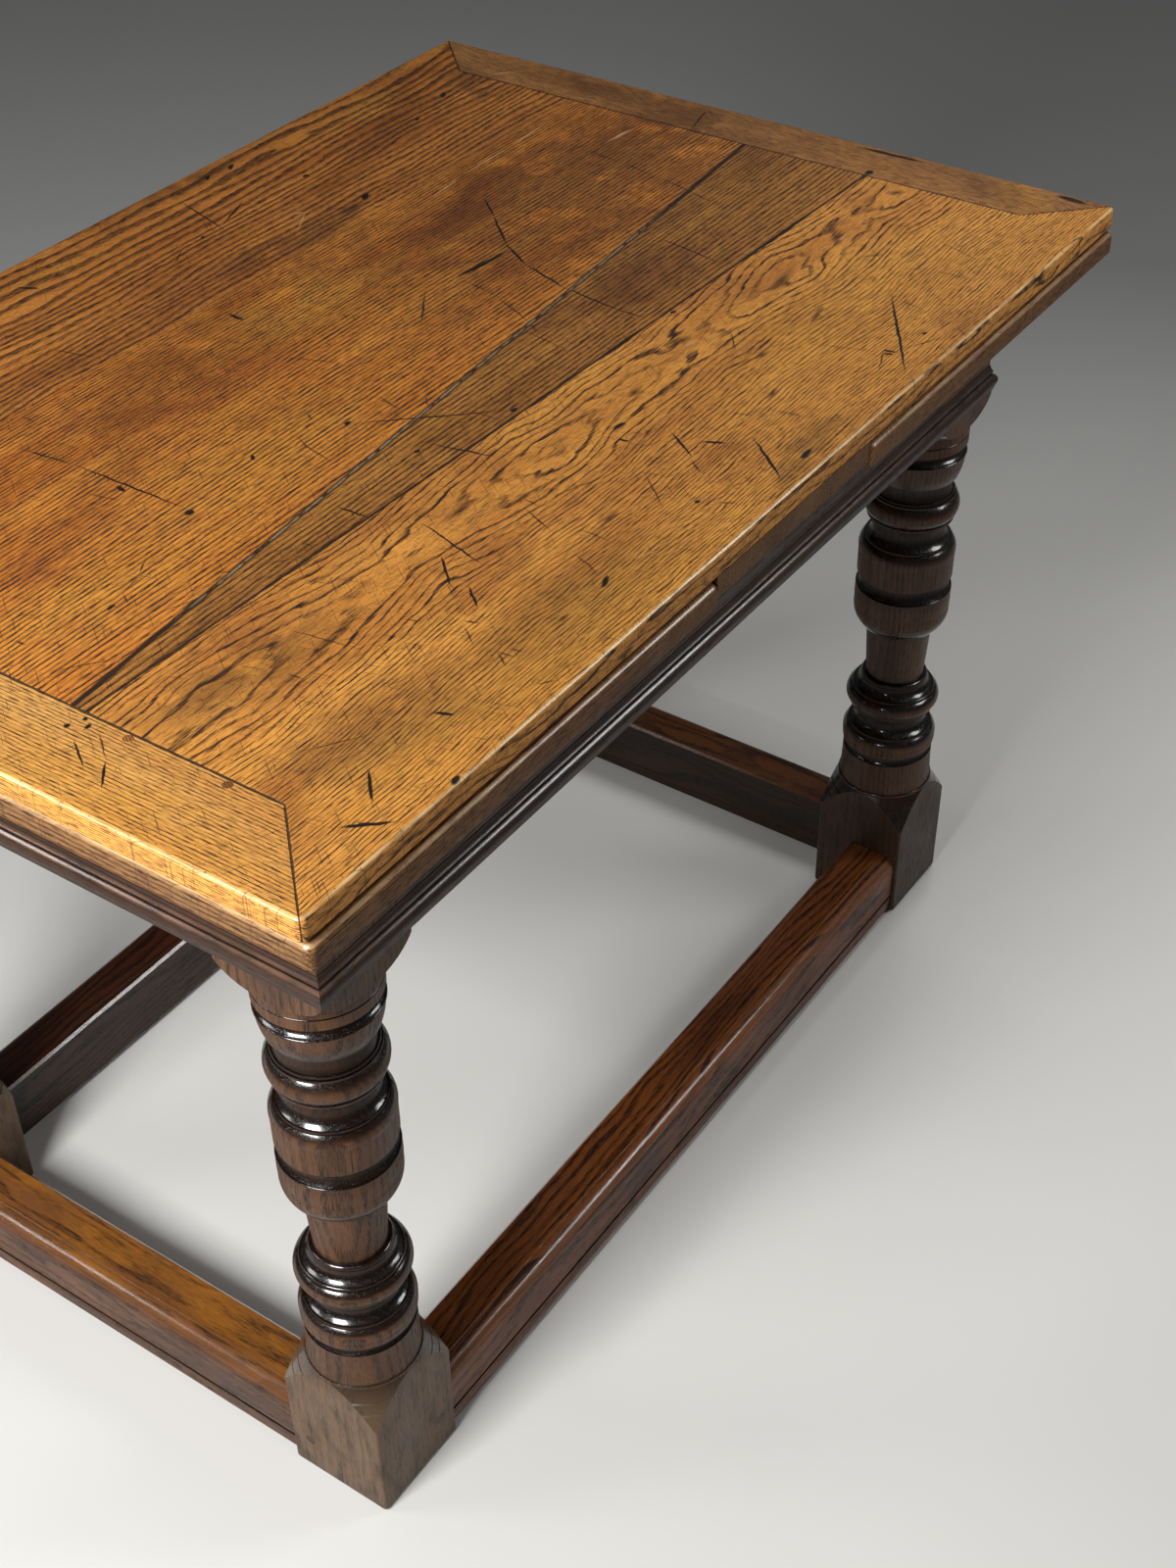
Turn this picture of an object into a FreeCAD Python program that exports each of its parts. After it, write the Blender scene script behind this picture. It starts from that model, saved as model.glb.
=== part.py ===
import FreeCAD, Part
import math
import os

# Draw-leaf refectory table in oak. Millimetres, origin on the floor under the middle of the table,
# X along the length (east is +X), Y across it (front is -Y), Z up.

# Loose top: boards along the length between two clamps whose ends are mitred
top_length = 1136
top_width = 756
top_height = 770
top_thickness = 19
west_clamp_width = 76
east_clamp_width = 64
top_arris_radius = 4.5
top_lower_radius = 1.5
corner_radius = 6
front_joint_west = -134
front_joint_east = -157
wedge_joint_west = -122
wedge_joint_east = -26
back_joint_west = 190
back_joint_east = 172
tongue_thickness = 7
tongue_length = 14
tongue_stop = 12
fit_clearance = 0.2
clamp_pin_radius = 3.5
clamp_pin_setting = 5
clamp_pin_shares = (0.25, 0.75)

# Fixed centre board and the two loose pegs that keep the top in place
centre_board_width = 224
centre_board_thickness = 18
guide_peg_radius = 11
guide_peg_play = 1
guide_peg_spacing = 440
guide_peg_seat = 14
guide_peg_reach = 12
guide_peg_headroom = 1
board_peg_radius = 5
board_peg_spacing = 140
board_peg_reach = 25

# Draw leaves: each lies under its half of the top and slides out and up on two tapered runners
leaf_thickness = 20.5
leaf_side_projection = 3
leaf_end_inset = 2
leaf_side_play = 1
leaf_gap = 3
leaf_overlap = 12
leaf_clamp_width = 70
leaf_arris_radius = 6.5
leaf_lower_radius = 2
leaf_board_joint = 130
runner_width = 28
runner_leg_space = 7.5
runner_pair_space = 12
runner_end_inset = 30
runner_tail_space = 65.5
runner_tail_clearance = 0.6
runner_notch_depth = 9
runner_side_play = 0.6
runner_slide_gap = 0.3
runner_peg_radius = 4
runner_peg_reach = 9
runner_peg_first = 36
runner_peg_last = 197
runner_pegs_each = 3
stop_peg_radius = 6
stop_peg_drop = 22
stop_peg_seat = 16
stop_peg_gap = 0.3

# Frieze: rails tenoned into the leg blocks, with a moulding planted round the lower edge.
# The overhangs run from the edges of the top to the axes of the legs
end_overhang = 122.5
side_overhang = 121
frame_shift_y = -6.5
rail_thickness = 25
rail_set_back = 4
rail_height = 128.5
rail_tenon_thickness = 12
rail_tenon_length = 35
rail_tenon_face_depth = 7
rail_tenon_haunch = 16
rail_pin_radius = 4
rail_pin_length = 30
rail_pin_spacing = 56
rail_pin_setting = 14
moulding_height = 26
moulding_projection = 7
moulding_foot = 4
moulding_lip = 1
moulding_ovolo_low = 6
moulding_ovolo_nose = 11
moulding_ovolo_top = 17
moulding_quirk_depth = 1.6
moulding_fillet = 3
moulding_fillet_low = 18.6
moulding_fillet_top = 20.4
moulding_cove_end = 0.6

# Legs: square blocks at the top and the foot, turned between them
leg_square = 98
leg_edge_radius = 2.5
foot_edge_radius = 5
block_below_rail = 20
pummel_rise = 25
pummel_bulge = 4
foot_block_height = 113
foot_cone_slope = 1.7
taper_length = 58.7
taper_upper_radius = 33
taper_lower_radius = 29.5

# Stretchers: a low box of four, tenoned into the foot blocks
stretcher_width = 54
stretcher_bottom = 6
stretcher_height = 71
stretcher_set_back = 4
stretcher_round = 14
stretcher_quirk = 1.2
stretcher_groove_height = 17
stretcher_groove_width = 3.6
stretcher_groove_depth = 2.4
stretcher_foot_round = 4
stretcher_chamfer = 2.5
stretcher_tenon_thickness = 16
stretcher_tenon_length = 40
stretcher_tenon_shoulder = 8
stretcher_pin_radius = 4.5
stretcher_pin_length = 47

# Turnings under the top block and over the foot block, read downwards:
# height, upper radius, lower radius, bulge (a hollow is negative).
# Their heights stretch or shrink together when the leg is made longer or shorter
upper_turnings = (
    (9, 48, 48, 0),  # neck
    (1.6, 48, 48, -0.9),  # scored line
    (9.4, 48, 48, 0),  # neck
    (10.5, 42.5, 46.5, -2),  # hollow
    (2.5, 47, 47.3, 0.7),  # edge bead
    (24, 46.8, 42, 1.2),  # tapered band
    (17, 37, 38.5, -1.6),  # throat
    (3, 40, 40, 0.5),  # thin ring
    (2, 41.8, 41.8, 0),  # fillet
    (23, 41.5, 41.5, 5),  # torus
    (2.5, 42.7, 42.7, 0),  # fillet
    (24.5, 40, 41, -6),  # scotia
    (2.5, 42.7, 42.7, 0),  # fillet
    (13.5, 43.6, 47.5, 1.9),  # shoulder of the drum
    (26, 47.5, 47.5, 0),  # drum
    (15, 42, 46, -2),  # hollow
    (2.5, 47.3, 47.3, 0.6),  # edge bead
    (18.5, 47.3, 47.5, 0.6),  # cup wall
    (29, 47.5, 34.5, 4.6),  # cup bottom
)
lower_turnings = (
    (5, 32.5, 32.5, 1.4),  # bead at the foot of the taper
    (10, 33, 40, -1.6),  # flare
    (3, 41.5, 41.8, 0.8),  # thin ring
    (17.5, 43, 43.6, 4.4),  # torus
    (2.5, 43.6, 43.6, 0),  # fillet
    (24, 40.5, 41, -7),  # scotia
    (2.5, 43, 43, 0),  # fillet
    (12.5, 43.6, 47.8, 2),  # shoulder
    (7.5, 47.8, 47.6, 0.3),  # ring wall
    (10.5, 43, 45.5, -1.6),  # hollow
    (37, 46.4, 47.8, -0.3),  # band
    (3.5, 48.6, 48.8, 0.8),  # bead
)
foot_scores = (0.32, 0.58)
foot_score_width = 1.4
foot_score_depth = 0.8

# Places that follow from the sizes above
half_length = top_length / 2
half_width = top_width / 2
half_square = leg_square / 2
top_under = top_height - top_thickness
leg_x = half_length - end_overhang
leg_y = half_width - side_overhang
centre_board_under = top_under - centre_board_thickness
runner_wide_offset = leg_y - half_square - abs(frame_shift_y) - runner_leg_space - runner_width / 2
runner_near_offset = runner_wide_offset - runner_width - runner_pair_space
fascia_offset = half_square - rail_set_back
rail_face_x = leg_x + fascia_offset
rail_face_y = leg_y + fascia_offset
leaf_outer_x = half_length - leaf_end_inset
leaf_inner_x = centre_board_width / 2 + leaf_side_play
leaf_length = leaf_outer_x - leaf_inner_x
leaf_half_width = half_width + leaf_side_projection
leaf_top = top_under - leaf_gap
leaf_under = leaf_top - leaf_thickness
rail_top = leaf_under
rail_bottom = rail_top - rail_height
block_under = rail_bottom - block_below_rail
draw_slope = (top_thickness + leaf_gap) / leaf_length
draw_run = leaf_length - leaf_overlap
far_out = 2 * top_length
cut_past = 1  # how far a cutting shape runs past the faces that it cuts


def vec(x, y, z):
    return FreeCAD.Vector(x, y, z)


def block(x0, x1, y0, y1, z0, z1):
    return Part.makeBox(x1 - x0, y1 - y0, z1 - z0, vec(x0, y0, z0))


def plan_prism(corners, z0, z1):
    wire = Part.makePolygon([vec(x, y, z0) for x, y in corners + corners[:1]])
    return Part.Face(wire).extrude(vec(0, 0, z1 - z0))


def side_prism(corners, y0, y1):
    wire = Part.makePolygon([vec(x, y0, z) for x, z in corners + corners[:1]])
    return Part.Face(wire).extrude(vec(0, y1 - y0, 0))


# A straight edge through two points, or an arc through three
def edge(*points):
    return Part.makeLine(*points) if len(points) == 2 else Part.Arc(*points).toShape()


def rod(radius, start, direction, length):
    return Part.makeCylinder(radius, length, start, direction)


def mirrored(shape, sign_x, sign_y):
    if sign_x < 0:
        shape = shape.mirror(vec(0, 0, 0), vec(1, 0, 0))
    if sign_y < 0:
        shape = shape.mirror(vec(0, 0, 0), vec(0, 1, 0))
    return shape


def half_turn(shape):
    turned = shape.copy()
    turned.rotate(vec(0, 0, 0), vec(0, 0, 1), 180)
    return turned


def edges_at(solid, low, high):
    inside = FreeCAD.BoundBox(*low, *high)
    return [edge for edge in solid.Edges if inside.isInside(edge.BoundBox)]


def save(name, *solids):
    shape = solids[0] if len(solids) == 1 else Part.makeCompound(list(solids))
    shape.exportStep("parts/" + name + ".step")


# Pieces of the frame are laid out about its own middle, which is a little off the middle of the top
def on_frame(shape):
    moved = shape.copy()
    moved.translate(vec(0, frame_shift_y, 0))
    return moved


def save_on_frame(name, *solids):
    save(name, *[on_frame(solid) for solid in solids])


# A slab with rounded corners and worn edges, from which the boards are cut
def worn_slab(x0, x1, half_y, z0, z1, upper, lower):
    slab = block(x0, x1, -half_y, half_y, z0, z1)
    upright = [edge for edge in slab.Edges if edge.BoundBox.ZLength > (z1 - z0) / 2]
    slab = slab.makeFillet(corner_radius, upright)
    low = (x0 - cut_past, -half_y - cut_past)
    high = (x1 + cut_past, half_y + cut_past)
    slab = slab.makeFillet(upper, edges_at(slab, (*low, z1 - cut_past), (*high, z1 + cut_past)))
    return slab.makeFillet(lower, edges_at(slab, (*low, z0 - cut_past), (*high, z0 + cut_past)))


# Tongue on a board end, or with clearance its groove, centred in the thickness of the slab
def tongue_block(x0, x1, y0, y1, z_middle, clearance=0):
    half = tongue_thickness / 2 + clearance
    return block(min(x0, x1), max(x0, x1), y0, y1, z_middle - half, z_middle + half)


def upright_rods(places, radius):
    return [rod(radius, vec(x, y, z0), vec(0, 0, 1), z1 - z0) for x, y, z0, z1 in places]


def bored(solid, places, radius):
    return solid.cut(upright_rods(places, radius + fit_clearance))


# The loose top: boards, clamps and the pins through the tongues
def make_top():
    west_x = west_clamp_width - half_length
    east_x = half_length - east_clamp_width
    west_y = half_width - west_clamp_width
    east_y = half_width - east_clamp_width
    middle = top_under + top_thickness / 2
    slab = worn_slab(-half_length, half_length, half_width, top_under, top_height,
                     top_arris_radius, top_lower_radius)
    inner_west = (-west_y, front_joint_west, wedge_joint_west, back_joint_west, west_y)
    inner_east = (-east_y, front_joint_east, wedge_joint_east, back_joint_east, east_y)
    names = ("top_front_board", "top_wedge_board", "top_middle_board", "top_back_board")
    last = len(names) - 1
    pin_floor = middle - tongue_thickness / 2
    pins = []
    for i in range(len(names)):
        for share in clamp_pin_shares:
            y = inner_west[i] + share * (inner_west[i + 1] - inner_west[i])
            if inner_west[i + 1] - inner_west[i] > 2 * tongue_length:
                pins.append((west_x - clamp_pin_setting, y, pin_floor, top_height))
            y = inner_east[i] + share * (inner_east[i + 1] - inner_east[i])
            pins.append((east_x + clamp_pin_setting, y, pin_floor, top_height))
    guide_top = top_under + guide_peg_reach + guide_peg_headroom
    guides = [(0, y, top_under, guide_top) for y in (-guide_peg_spacing / 2, guide_peg_spacing / 2)]
    for i, name in enumerate(names):
        outline = [(west_x, inner_west[i]), (east_x, inner_east[i]),
                   (east_x, inner_east[i + 1]), (west_x, inner_west[i + 1])]
        low_stop = tongue_stop if i == 0 else 0
        high_stop = tongue_stop if i == last else 0
        if i == 0:
            outline[1:1] = [(-half_length, -half_width), (half_length, -half_width)]
        if i == last:
            outline[3:3] = [(half_length, half_width), (-half_length, half_width)]
        board = slab.common(plan_prism(outline, top_under - cut_past, top_height + cut_past))
        board = board.fuse([
            tongue_block(west_x - tongue_length, west_x, inner_west[i] + low_stop,
                         inner_west[i + 1] - high_stop, middle),
            tongue_block(east_x, east_x + tongue_length, inner_east[i] + low_stop,
                         inner_east[i + 1] - high_stop, middle)]).removeSplitter()
        board = bored(board, pins, clamp_pin_radius)
        save(name, bored(board, guides, guide_peg_radius + guide_peg_play))
    for name, x, y, side in (("top_west_clamp", west_x, west_y, -1), ("top_east_clamp", east_x, east_y, 1)):
        outline = [(x, -y), (x, y), (side * half_length, half_width), (side * half_length, -half_width)]
        clamp = slab.common(plan_prism(outline, top_under - cut_past, top_height + cut_past))
        stop = y - tongue_stop + fit_clearance
        depth = side * (tongue_length + fit_clearance)
        clamp = clamp.cut(tongue_block(x, x + depth, -stop, stop, middle, fit_clearance))
        save(name, bored(clamp, pins, clamp_pin_radius))
    save("top_clamp_pins", *upright_rods(pins, clamp_pin_radius))


# Places on the frame of the pegs that fix the centre board to the long rails
def board_pegs():
    y = rail_face_y - rail_thickness / 2
    low = centre_board_under - board_peg_reach
    return [(sx * board_peg_spacing / 2, sy * y, low, top_under) for sx in (-1, 1) for sy in (-1, 1)]


# The centre board with its pegs, and the loose pegs that stand in it and guide the top
def make_centre():
    half = centre_board_width / 2
    guide_floor = top_under - guide_peg_seat
    guide_top = top_under + guide_peg_reach
    guides = [(0, y, guide_floor, guide_top) for y in (-guide_peg_spacing / 2, guide_peg_spacing / 2)]
    pegs = [(x, y + frame_shift_y, z0, z1) for x, y, z0, z1 in board_pegs()]
    board = block(-half, half, -half_width, half_width, centre_board_under, top_under)
    board = bored(board, guides, guide_peg_radius + guide_peg_play)
    save("centre_board", bored(board, pegs, board_peg_radius))
    save("centre_board_pegs", *upright_rods(pegs, board_peg_radius))
    save("guide_pegs", *upright_rods(guides, guide_peg_radius))


# A line parallel to the draw of the east leaf through a point
def draw_line(x, z):
    return lambda at: z + (at - x) * draw_slope


# Tapered runners of the east leaf: the lower edge slides on the end rail, and the tail runs under
# the centre board, which holds it down when the leaf is out, and ends short of the west rail
def make_runners():
    lower = draw_line(rail_face_x, rail_top - runner_notch_depth)
    upper = draw_line(centre_board_width / 2, centre_board_under - runner_tail_clearance)
    outer_end = leaf_outer_x - runner_end_inset
    step_x = leaf_inner_x - runner_slide_gap
    tail_x = runner_tail_space + rail_thickness - rail_face_x
    outline = [(outer_end, leaf_under), (step_x, leaf_under), (step_x, upper(step_x)),
               (tail_x, upper(tail_x)), (tail_x, lower(tail_x)), (outer_end, lower(outer_end))]
    stop_x = rail_face_x - rail_thickness - draw_run - stop_peg_radius - stop_peg_gap
    stop_low = lower(stop_x) - stop_peg_drop
    peg_pitch = (leaf_length - runner_peg_first - runner_peg_last) / (runner_pegs_each - 1)
    runners, pegs, stops = [], [], []
    for y in (-runner_near_offset, runner_wide_offset):
        for i in range(runner_pegs_each):
            x = leaf_inner_x + runner_peg_first + i * peg_pitch
            pegs.append((x, y, leaf_under - runner_peg_reach, leaf_top))
        stops.append((stop_x, y, stop_low, lower(stop_x) + stop_peg_seat))
        runner = side_prism(outline, y - runner_width / 2, y + runner_width / 2)
        runner = bored(runner, pegs, runner_peg_radius)
        runners.append(bored(runner, stops, stop_peg_radius))
    return runners, pegs, stops


# The east leaf, and the west leaf as the same leaf turned round
def make_leaves():
    middle = leaf_under + leaf_thickness / 2
    outer_x = leaf_outer_x - leaf_clamp_width
    inner_x = leaf_inner_x + leaf_clamp_width
    mitre_y = leaf_half_width - leaf_clamp_width
    low, high = leaf_under - cut_past, leaf_top + cut_past
    slab = worn_slab(leaf_inner_x, leaf_outer_x, leaf_half_width, leaf_under, leaf_top,
                     leaf_arris_radius, leaf_lower_radius)
    sides = (-leaf_half_width, -leaf_board_joint, leaf_board_joint, leaf_half_width)
    ends = (-mitre_y, -leaf_board_joint, leaf_board_joint, mitre_y)
    names = ("front_board", "middle_board", "back_board")
    last = len(names) - 1
    pins = []
    for y0, y1 in zip(ends, ends[1:]):
        for share in clamp_pin_shares:
            y = y0 + share * (y1 - y0)
            pins.append((outer_x + clamp_pin_setting, y, middle - tongue_thickness / 2, leaf_top))
            pins.append((inner_x - clamp_pin_setting, y, middle - tongue_thickness / 2, leaf_top))
    runners, pegs, stops = make_runners()
    leaf = {}
    for i, name in enumerate(names):
        outline = [(inner_x, sides[i]), (outer_x, ends[i]), (outer_x, ends[i + 1]), (inner_x, sides[i + 1])]
        low_end = ends[i] + (tongue_stop if i == 0 else 0)
        high_end = ends[i + 1] - (tongue_stop if i == last else 0)
        if i == 0:
            outline[1:1] = [(leaf_outer_x, -leaf_half_width)]
        if i == last:
            outline[3:3] = [(leaf_outer_x, leaf_half_width)]
        board = slab.common(plan_prism(outline, low, high))
        board = board.fuse([
            tongue_block(inner_x - tongue_length, inner_x, low_end, high_end, middle),
            tongue_block(outer_x, outer_x + tongue_length, low_end, high_end, middle)]).removeSplitter()
        leaf[name] = [bored(bored(board, pins, clamp_pin_radius), pegs, runner_peg_radius)]
    stop = mitre_y - tongue_stop + fit_clearance
    reach = tongue_length + fit_clearance
    outer = slab.common(plan_prism([(outer_x, -mitre_y), (leaf_outer_x, -leaf_half_width),
                                    (leaf_outer_x, leaf_half_width), (outer_x, mitre_y)], low, high))
    outer = outer.cut(tongue_block(outer_x, outer_x + reach, -stop, stop, middle, fit_clearance))
    inner = slab.common(block(leaf_inner_x, inner_x, -leaf_half_width, leaf_half_width, low, high))
    inner = inner.cut(tongue_block(inner_x, inner_x - reach, -stop, stop, middle, fit_clearance))
    leaf["outer_clamp"] = [bored(outer, pins, clamp_pin_radius)]
    leaf["inner_clamp"] = [bored(bored(inner, pins, clamp_pin_radius), pegs, runner_peg_radius)]
    leaf["front_runner"] = runners[:1]
    leaf["back_runner"] = runners[1:]
    leaf["clamp_pins"] = upright_rods(pins, clamp_pin_radius)
    leaf["runner_pegs"] = upright_rods(pegs, runner_peg_radius)
    leaf["stop_pegs"] = upright_rods(stops, stop_peg_radius)
    other_side = {"front_board": "back_board", "back_board": "front_board",
                  "front_runner": "back_runner", "back_runner": "front_runner"}
    for name, solids in leaf.items():
        save("east_leaf_" + name, *solids)
        save("west_leaf_" + other_side.get(name, name), *[half_turn(solid) for solid in solids])


# Two drawbore pins through every frieze tenon, driven from the outer faces of the leg
def rail_pins():
    along = half_square - rail_pin_setting
    middle = (rail_bottom + rail_top) / 2
    pins = []
    for sx in (-1, 1):
        for sy in (-1, 1):
            for z in (middle - rail_pin_spacing / 2, middle + rail_pin_spacing / 2):
                pins.append((vec(sx * (leg_x - along), sy * rail_face_y, z), vec(0, -sy, 0)))
                pins.append((vec(sx * rail_face_x, sy * (leg_y - along), z), vec(-sx, 0, 0)))
    return pins


# One pin through every stretcher tenon, driven from the outer faces of the foot block
def stretcher_pins():
    along = half_square - stretcher_tenon_length / 2
    z = stretcher_bottom + stretcher_height / 2
    pins = []
    for sx in (-1, 1):
        for sy in (-1, 1):
            pins.append((vec(sx * (leg_x - along), sy * (leg_y + half_square), z), vec(0, -sy, 0)))
            pins.append((vec(sx * (leg_x + half_square), sy * (leg_y - along), z), vec(-sx, 0, 0)))
    return pins


def pin_rods(pins, radius, length):
    return [rod(radius, start, way, length) for start, way in pins]


def drilled(solid, pins, radius, length):
    return solid.cut(pin_rods(pins, radius + fit_clearance, length))


# A rail or stretcher blank with a stub tenon at both ends, lying along X
def tenoned(blank, shoulder, tenon_length, y0, y1, z0, z1):
    reach = shoulder + tenon_length
    return blank.fuse(block(-reach, reach, y0, y1, z0, z1)).removeSplitter()


def quarter_turn(solid):
    turned = solid.copy()
    turned.rotate(vec(0, 0, 0), vec(0, 0, 1), -90)
    return turned


# Frieze rails: the long ones carry the centre board, the end ones are notched for the runners
def make_rails():
    board_half = centre_board_width / 2
    long_half = leg_x - half_square
    end_half = leg_y - half_square
    tenon_low = rail_bottom + rail_tenon_haunch
    tenon_high = rail_top - rail_tenon_haunch
    pins = rail_pins()

    def rail(outline, shoulder, face):
        blank = side_prism(outline, face - rail_thickness, face)
        tenon_face = face - rail_tenon_face_depth
        return tenoned(blank, shoulder, rail_tenon_length, tenon_face - rail_tenon_thickness, tenon_face,
                       tenon_low, tenon_high)

    long_rail = rail([(-long_half, rail_bottom), (long_half, rail_bottom), (long_half, rail_top),
                      (board_half, rail_top), (board_half, centre_board_under),
                      (-board_half, centre_board_under), (-board_half, rail_top), (-long_half, rail_top)],
                     long_half, rail_face_y)
    long_rail = bored(long_rail, board_pegs(), board_peg_radius)
    long_rail = drilled(long_rail, pins, rail_pin_radius, rail_pin_length)
    save_on_frame("back_frieze_rail", long_rail)
    save_on_frame("front_frieze_rail", half_turn(long_rail))
    end_rail = rail([(-end_half, rail_bottom), (end_half, rail_bottom), (end_half, rail_top),
                     (-end_half, rail_top)], end_half, rail_face_x)
    end_rail = drilled(quarter_turn(end_rail), pins, rail_pin_radius, rail_pin_length)
    sill = draw_line(rail_face_x, rail_top - runner_notch_depth - runner_slide_gap)
    outer_x = rail_face_x + cut_past
    inner_x = rail_face_x - rail_thickness - cut_past
    notch_top = rail_top + cut_past
    notch = [(inner_x, sill(inner_x)), (outer_x, sill(outer_x)),
             (outer_x, notch_top), (inner_x, notch_top)]
    half = runner_width / 2 + runner_side_play
    notches = [side_prism(notch, y - half, y + half) for y in (-runner_near_offset, runner_wide_offset)]
    save("east_frieze_rail", on_frame(end_rail).cut(notches))
    save("west_frieze_rail", on_frame(half_turn(end_rail)).cut([half_turn(cut) for cut in notches]))
    save_on_frame("rail_tenon_pins", *pin_rods(pins, rail_pin_radius, rail_pin_length))


# Moulding strip along X: foot, drawn-in lower face, ovolo, quirk, fillet and cove, mitred at both ends
def moulding_strip(face, along):
    def at(out, up):
        return vec(-far_out, face + out, rail_bottom + up)

    heel = at(0, 0)
    foot = at(moulding_foot, 0)
    ovolo_low = at(moulding_projection - moulding_lip, moulding_ovolo_low)
    nose = at(moulding_projection, moulding_ovolo_nose)
    ovolo_top = at(moulding_fillet, moulding_ovolo_top)
    quirk = at(moulding_fillet - moulding_quirk_depth, moulding_ovolo_top)
    fillet_low = at(moulding_fillet, moulding_fillet_low)
    fillet_top = at(moulding_fillet, moulding_fillet_top)
    cove = at(2 * moulding_cove_end, (moulding_fillet_top + moulding_height) / 2)
    cove_end = at(moulding_cove_end, moulding_height)
    back = at(0, moulding_height)
    section = [edge(heel, foot), edge(foot, ovolo_low), edge(ovolo_low, nose, ovolo_top),
               edge(ovolo_top, quirk), edge(quirk, fillet_low), edge(fillet_low, fillet_top),
               edge(fillet_top, cove, cove_end), edge(cove_end, back), edge(back, heel)]
    strip = Part.Face(Part.Wire(section)).extrude(vec(2 * far_out, 0, 0))
    spread = 2 * moulding_projection
    ends = [(-along, face), (along, face), (along + spread, face + spread), (-along - spread, face + spread)]
    return strip.common(plan_prism(ends, rail_bottom - cut_past, rail_bottom + moulding_height + cut_past))


def make_mouldings():
    long_strip = moulding_strip(rail_face_y, rail_face_x)
    save_on_frame("back_frieze_moulding", long_strip)
    save_on_frame("front_frieze_moulding", half_turn(long_strip))
    end_strip = quarter_turn(moulding_strip(rail_face_x, rail_face_y))
    save_on_frame("east_frieze_moulding", end_strip)
    save_on_frame("west_frieze_moulding", half_turn(end_strip))


# Outline of the turned leg beside its axis, read downwards from the top
def turned_outline():
    corner = math.hypot(half_square, half_square)
    outer = corner + leg_edge_radius
    here = vec(0, 0, rail_top)
    edges = []

    def reach(radius, z, bulge=0):
        nonlocal here
        end = vec(radius, 0, z)
        if bulge:
            chord = end - here
            outward = vec(-chord.z, 0, chord.x).normalize()
            edges.append(edge(here, (here + end) * 0.5 + outward * bulge, end))
        elif here.distanceToPoint(end) > 0:
            edges.append(edge(here, end))
        here = end

    def stack(turnings, z):
        for height, upper, lower, bulge in turnings:
            reach(upper, z)
            z -= height * stretch
            reach(lower, z, bulge)
        return z

    cone_radius = lower_turnings[-1][2]
    cone_top = foot_block_height + (corner - cone_radius) * foot_cone_slope
    pattern = taper_length + sum(turning[0] for turning in upper_turnings + lower_turnings)
    stretch = (block_under - cone_top) / pattern
    reach(outer, rail_top)
    reach(outer, block_under + pummel_rise)
    reach(upper_turnings[0][1], block_under, pummel_bulge)
    taper_top = stack(upper_turnings, block_under)
    reach(taper_upper_radius, taper_top)
    taper_end = taper_top - taper_length * stretch
    reach(taper_lower_radius, taper_end)
    stack(lower_turnings, taper_end)
    half_score = foot_score_width / 2
    for share in foot_scores:
        radius = cone_radius + share * (corner - cone_radius)
        middle = cone_top - (radius - cone_radius) * foot_cone_slope
        reach(radius - half_score / foot_cone_slope, middle + half_score)
        reach(radius - foot_score_depth, middle)
        reach(radius + half_score / foot_cone_slope, middle - half_score)
    reach(outer, foot_block_height - (outer - corner) * foot_cone_slope)
    reach(outer, 0)
    reach(0, 0)
    reach(0, rail_top)
    return Part.Face(Part.Wire(edges))


# Square stock with eased edges, cut back behind the frieze on the two outer faces
def leg_stock():
    stock = block(-half_square, half_square, -half_square, half_square, 0, rail_top)
    size = half_square + cut_past
    upright = [edge for edge in stock.Edges if edge.BoundBox.ZLength > rail_top / 2]
    stock = stock.makeFillet(leg_edge_radius, upright)
    foot_edges = edges_at(stock, (-size, -size, -cut_past), (size, size, cut_past))
    stock = stock.makeFillet(foot_edge_radius, foot_edges)
    high = rail_top + cut_past
    return stock.cut([block(fascia_offset, size, -size, size, rail_bottom, high),
                      block(-size, size, fascia_offset, size, rail_bottom, high)])


# The east back leg with its four mortises and its pin holes, and its three mirror images
def make_legs():
    leg = turned_outline().revolve(vec(0, 0, 0), vec(0, 0, 1), 360).common(leg_stock())
    leg.translate(vec(leg_x, leg_y, 0))
    inner_x = leg_x - half_square
    inner_y = leg_y - half_square

    def mortises(out, thickness, length, z0, z1):
        half = thickness / 2 + fit_clearance
        deep = length + fit_clearance
        low, high = z0 - fit_clearance, z1 + fit_clearance
        x0, y0 = inner_x - cut_past, inner_y - cut_past
        return [block(x0, inner_x + deep, leg_y + out - half, leg_y + out + half, low, high),
                block(leg_x + out - half, leg_x + out + half, y0, inner_y + deep, low, high)]

    rail_out = fascia_offset - rail_tenon_face_depth - rail_tenon_thickness / 2
    stretcher_out = half_square - stretcher_set_back - stretcher_width / 2
    leg = leg.cut(mortises(rail_out, rail_tenon_thickness, rail_tenon_length,
                           rail_bottom + rail_tenon_haunch, rail_top - rail_tenon_haunch)
                  + mortises(stretcher_out, stretcher_tenon_thickness, stretcher_tenon_length,
                             stretcher_bottom + stretcher_tenon_shoulder,
                             stretcher_bottom + stretcher_height - stretcher_tenon_shoulder))
    leg = drilled(leg, rail_pins(), rail_pin_radius, rail_pin_length)
    leg = drilled(leg, stretcher_pins(), stretcher_pin_radius, stretcher_pin_length)
    for name, sx, sy in (("west_front_leg", -1, -1), ("east_front_leg", 1, -1),
                         ("west_back_leg", -1, 1), ("east_back_leg", 1, 1)):
        save_on_frame(name, mirrored(leg, sx, sy))


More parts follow.
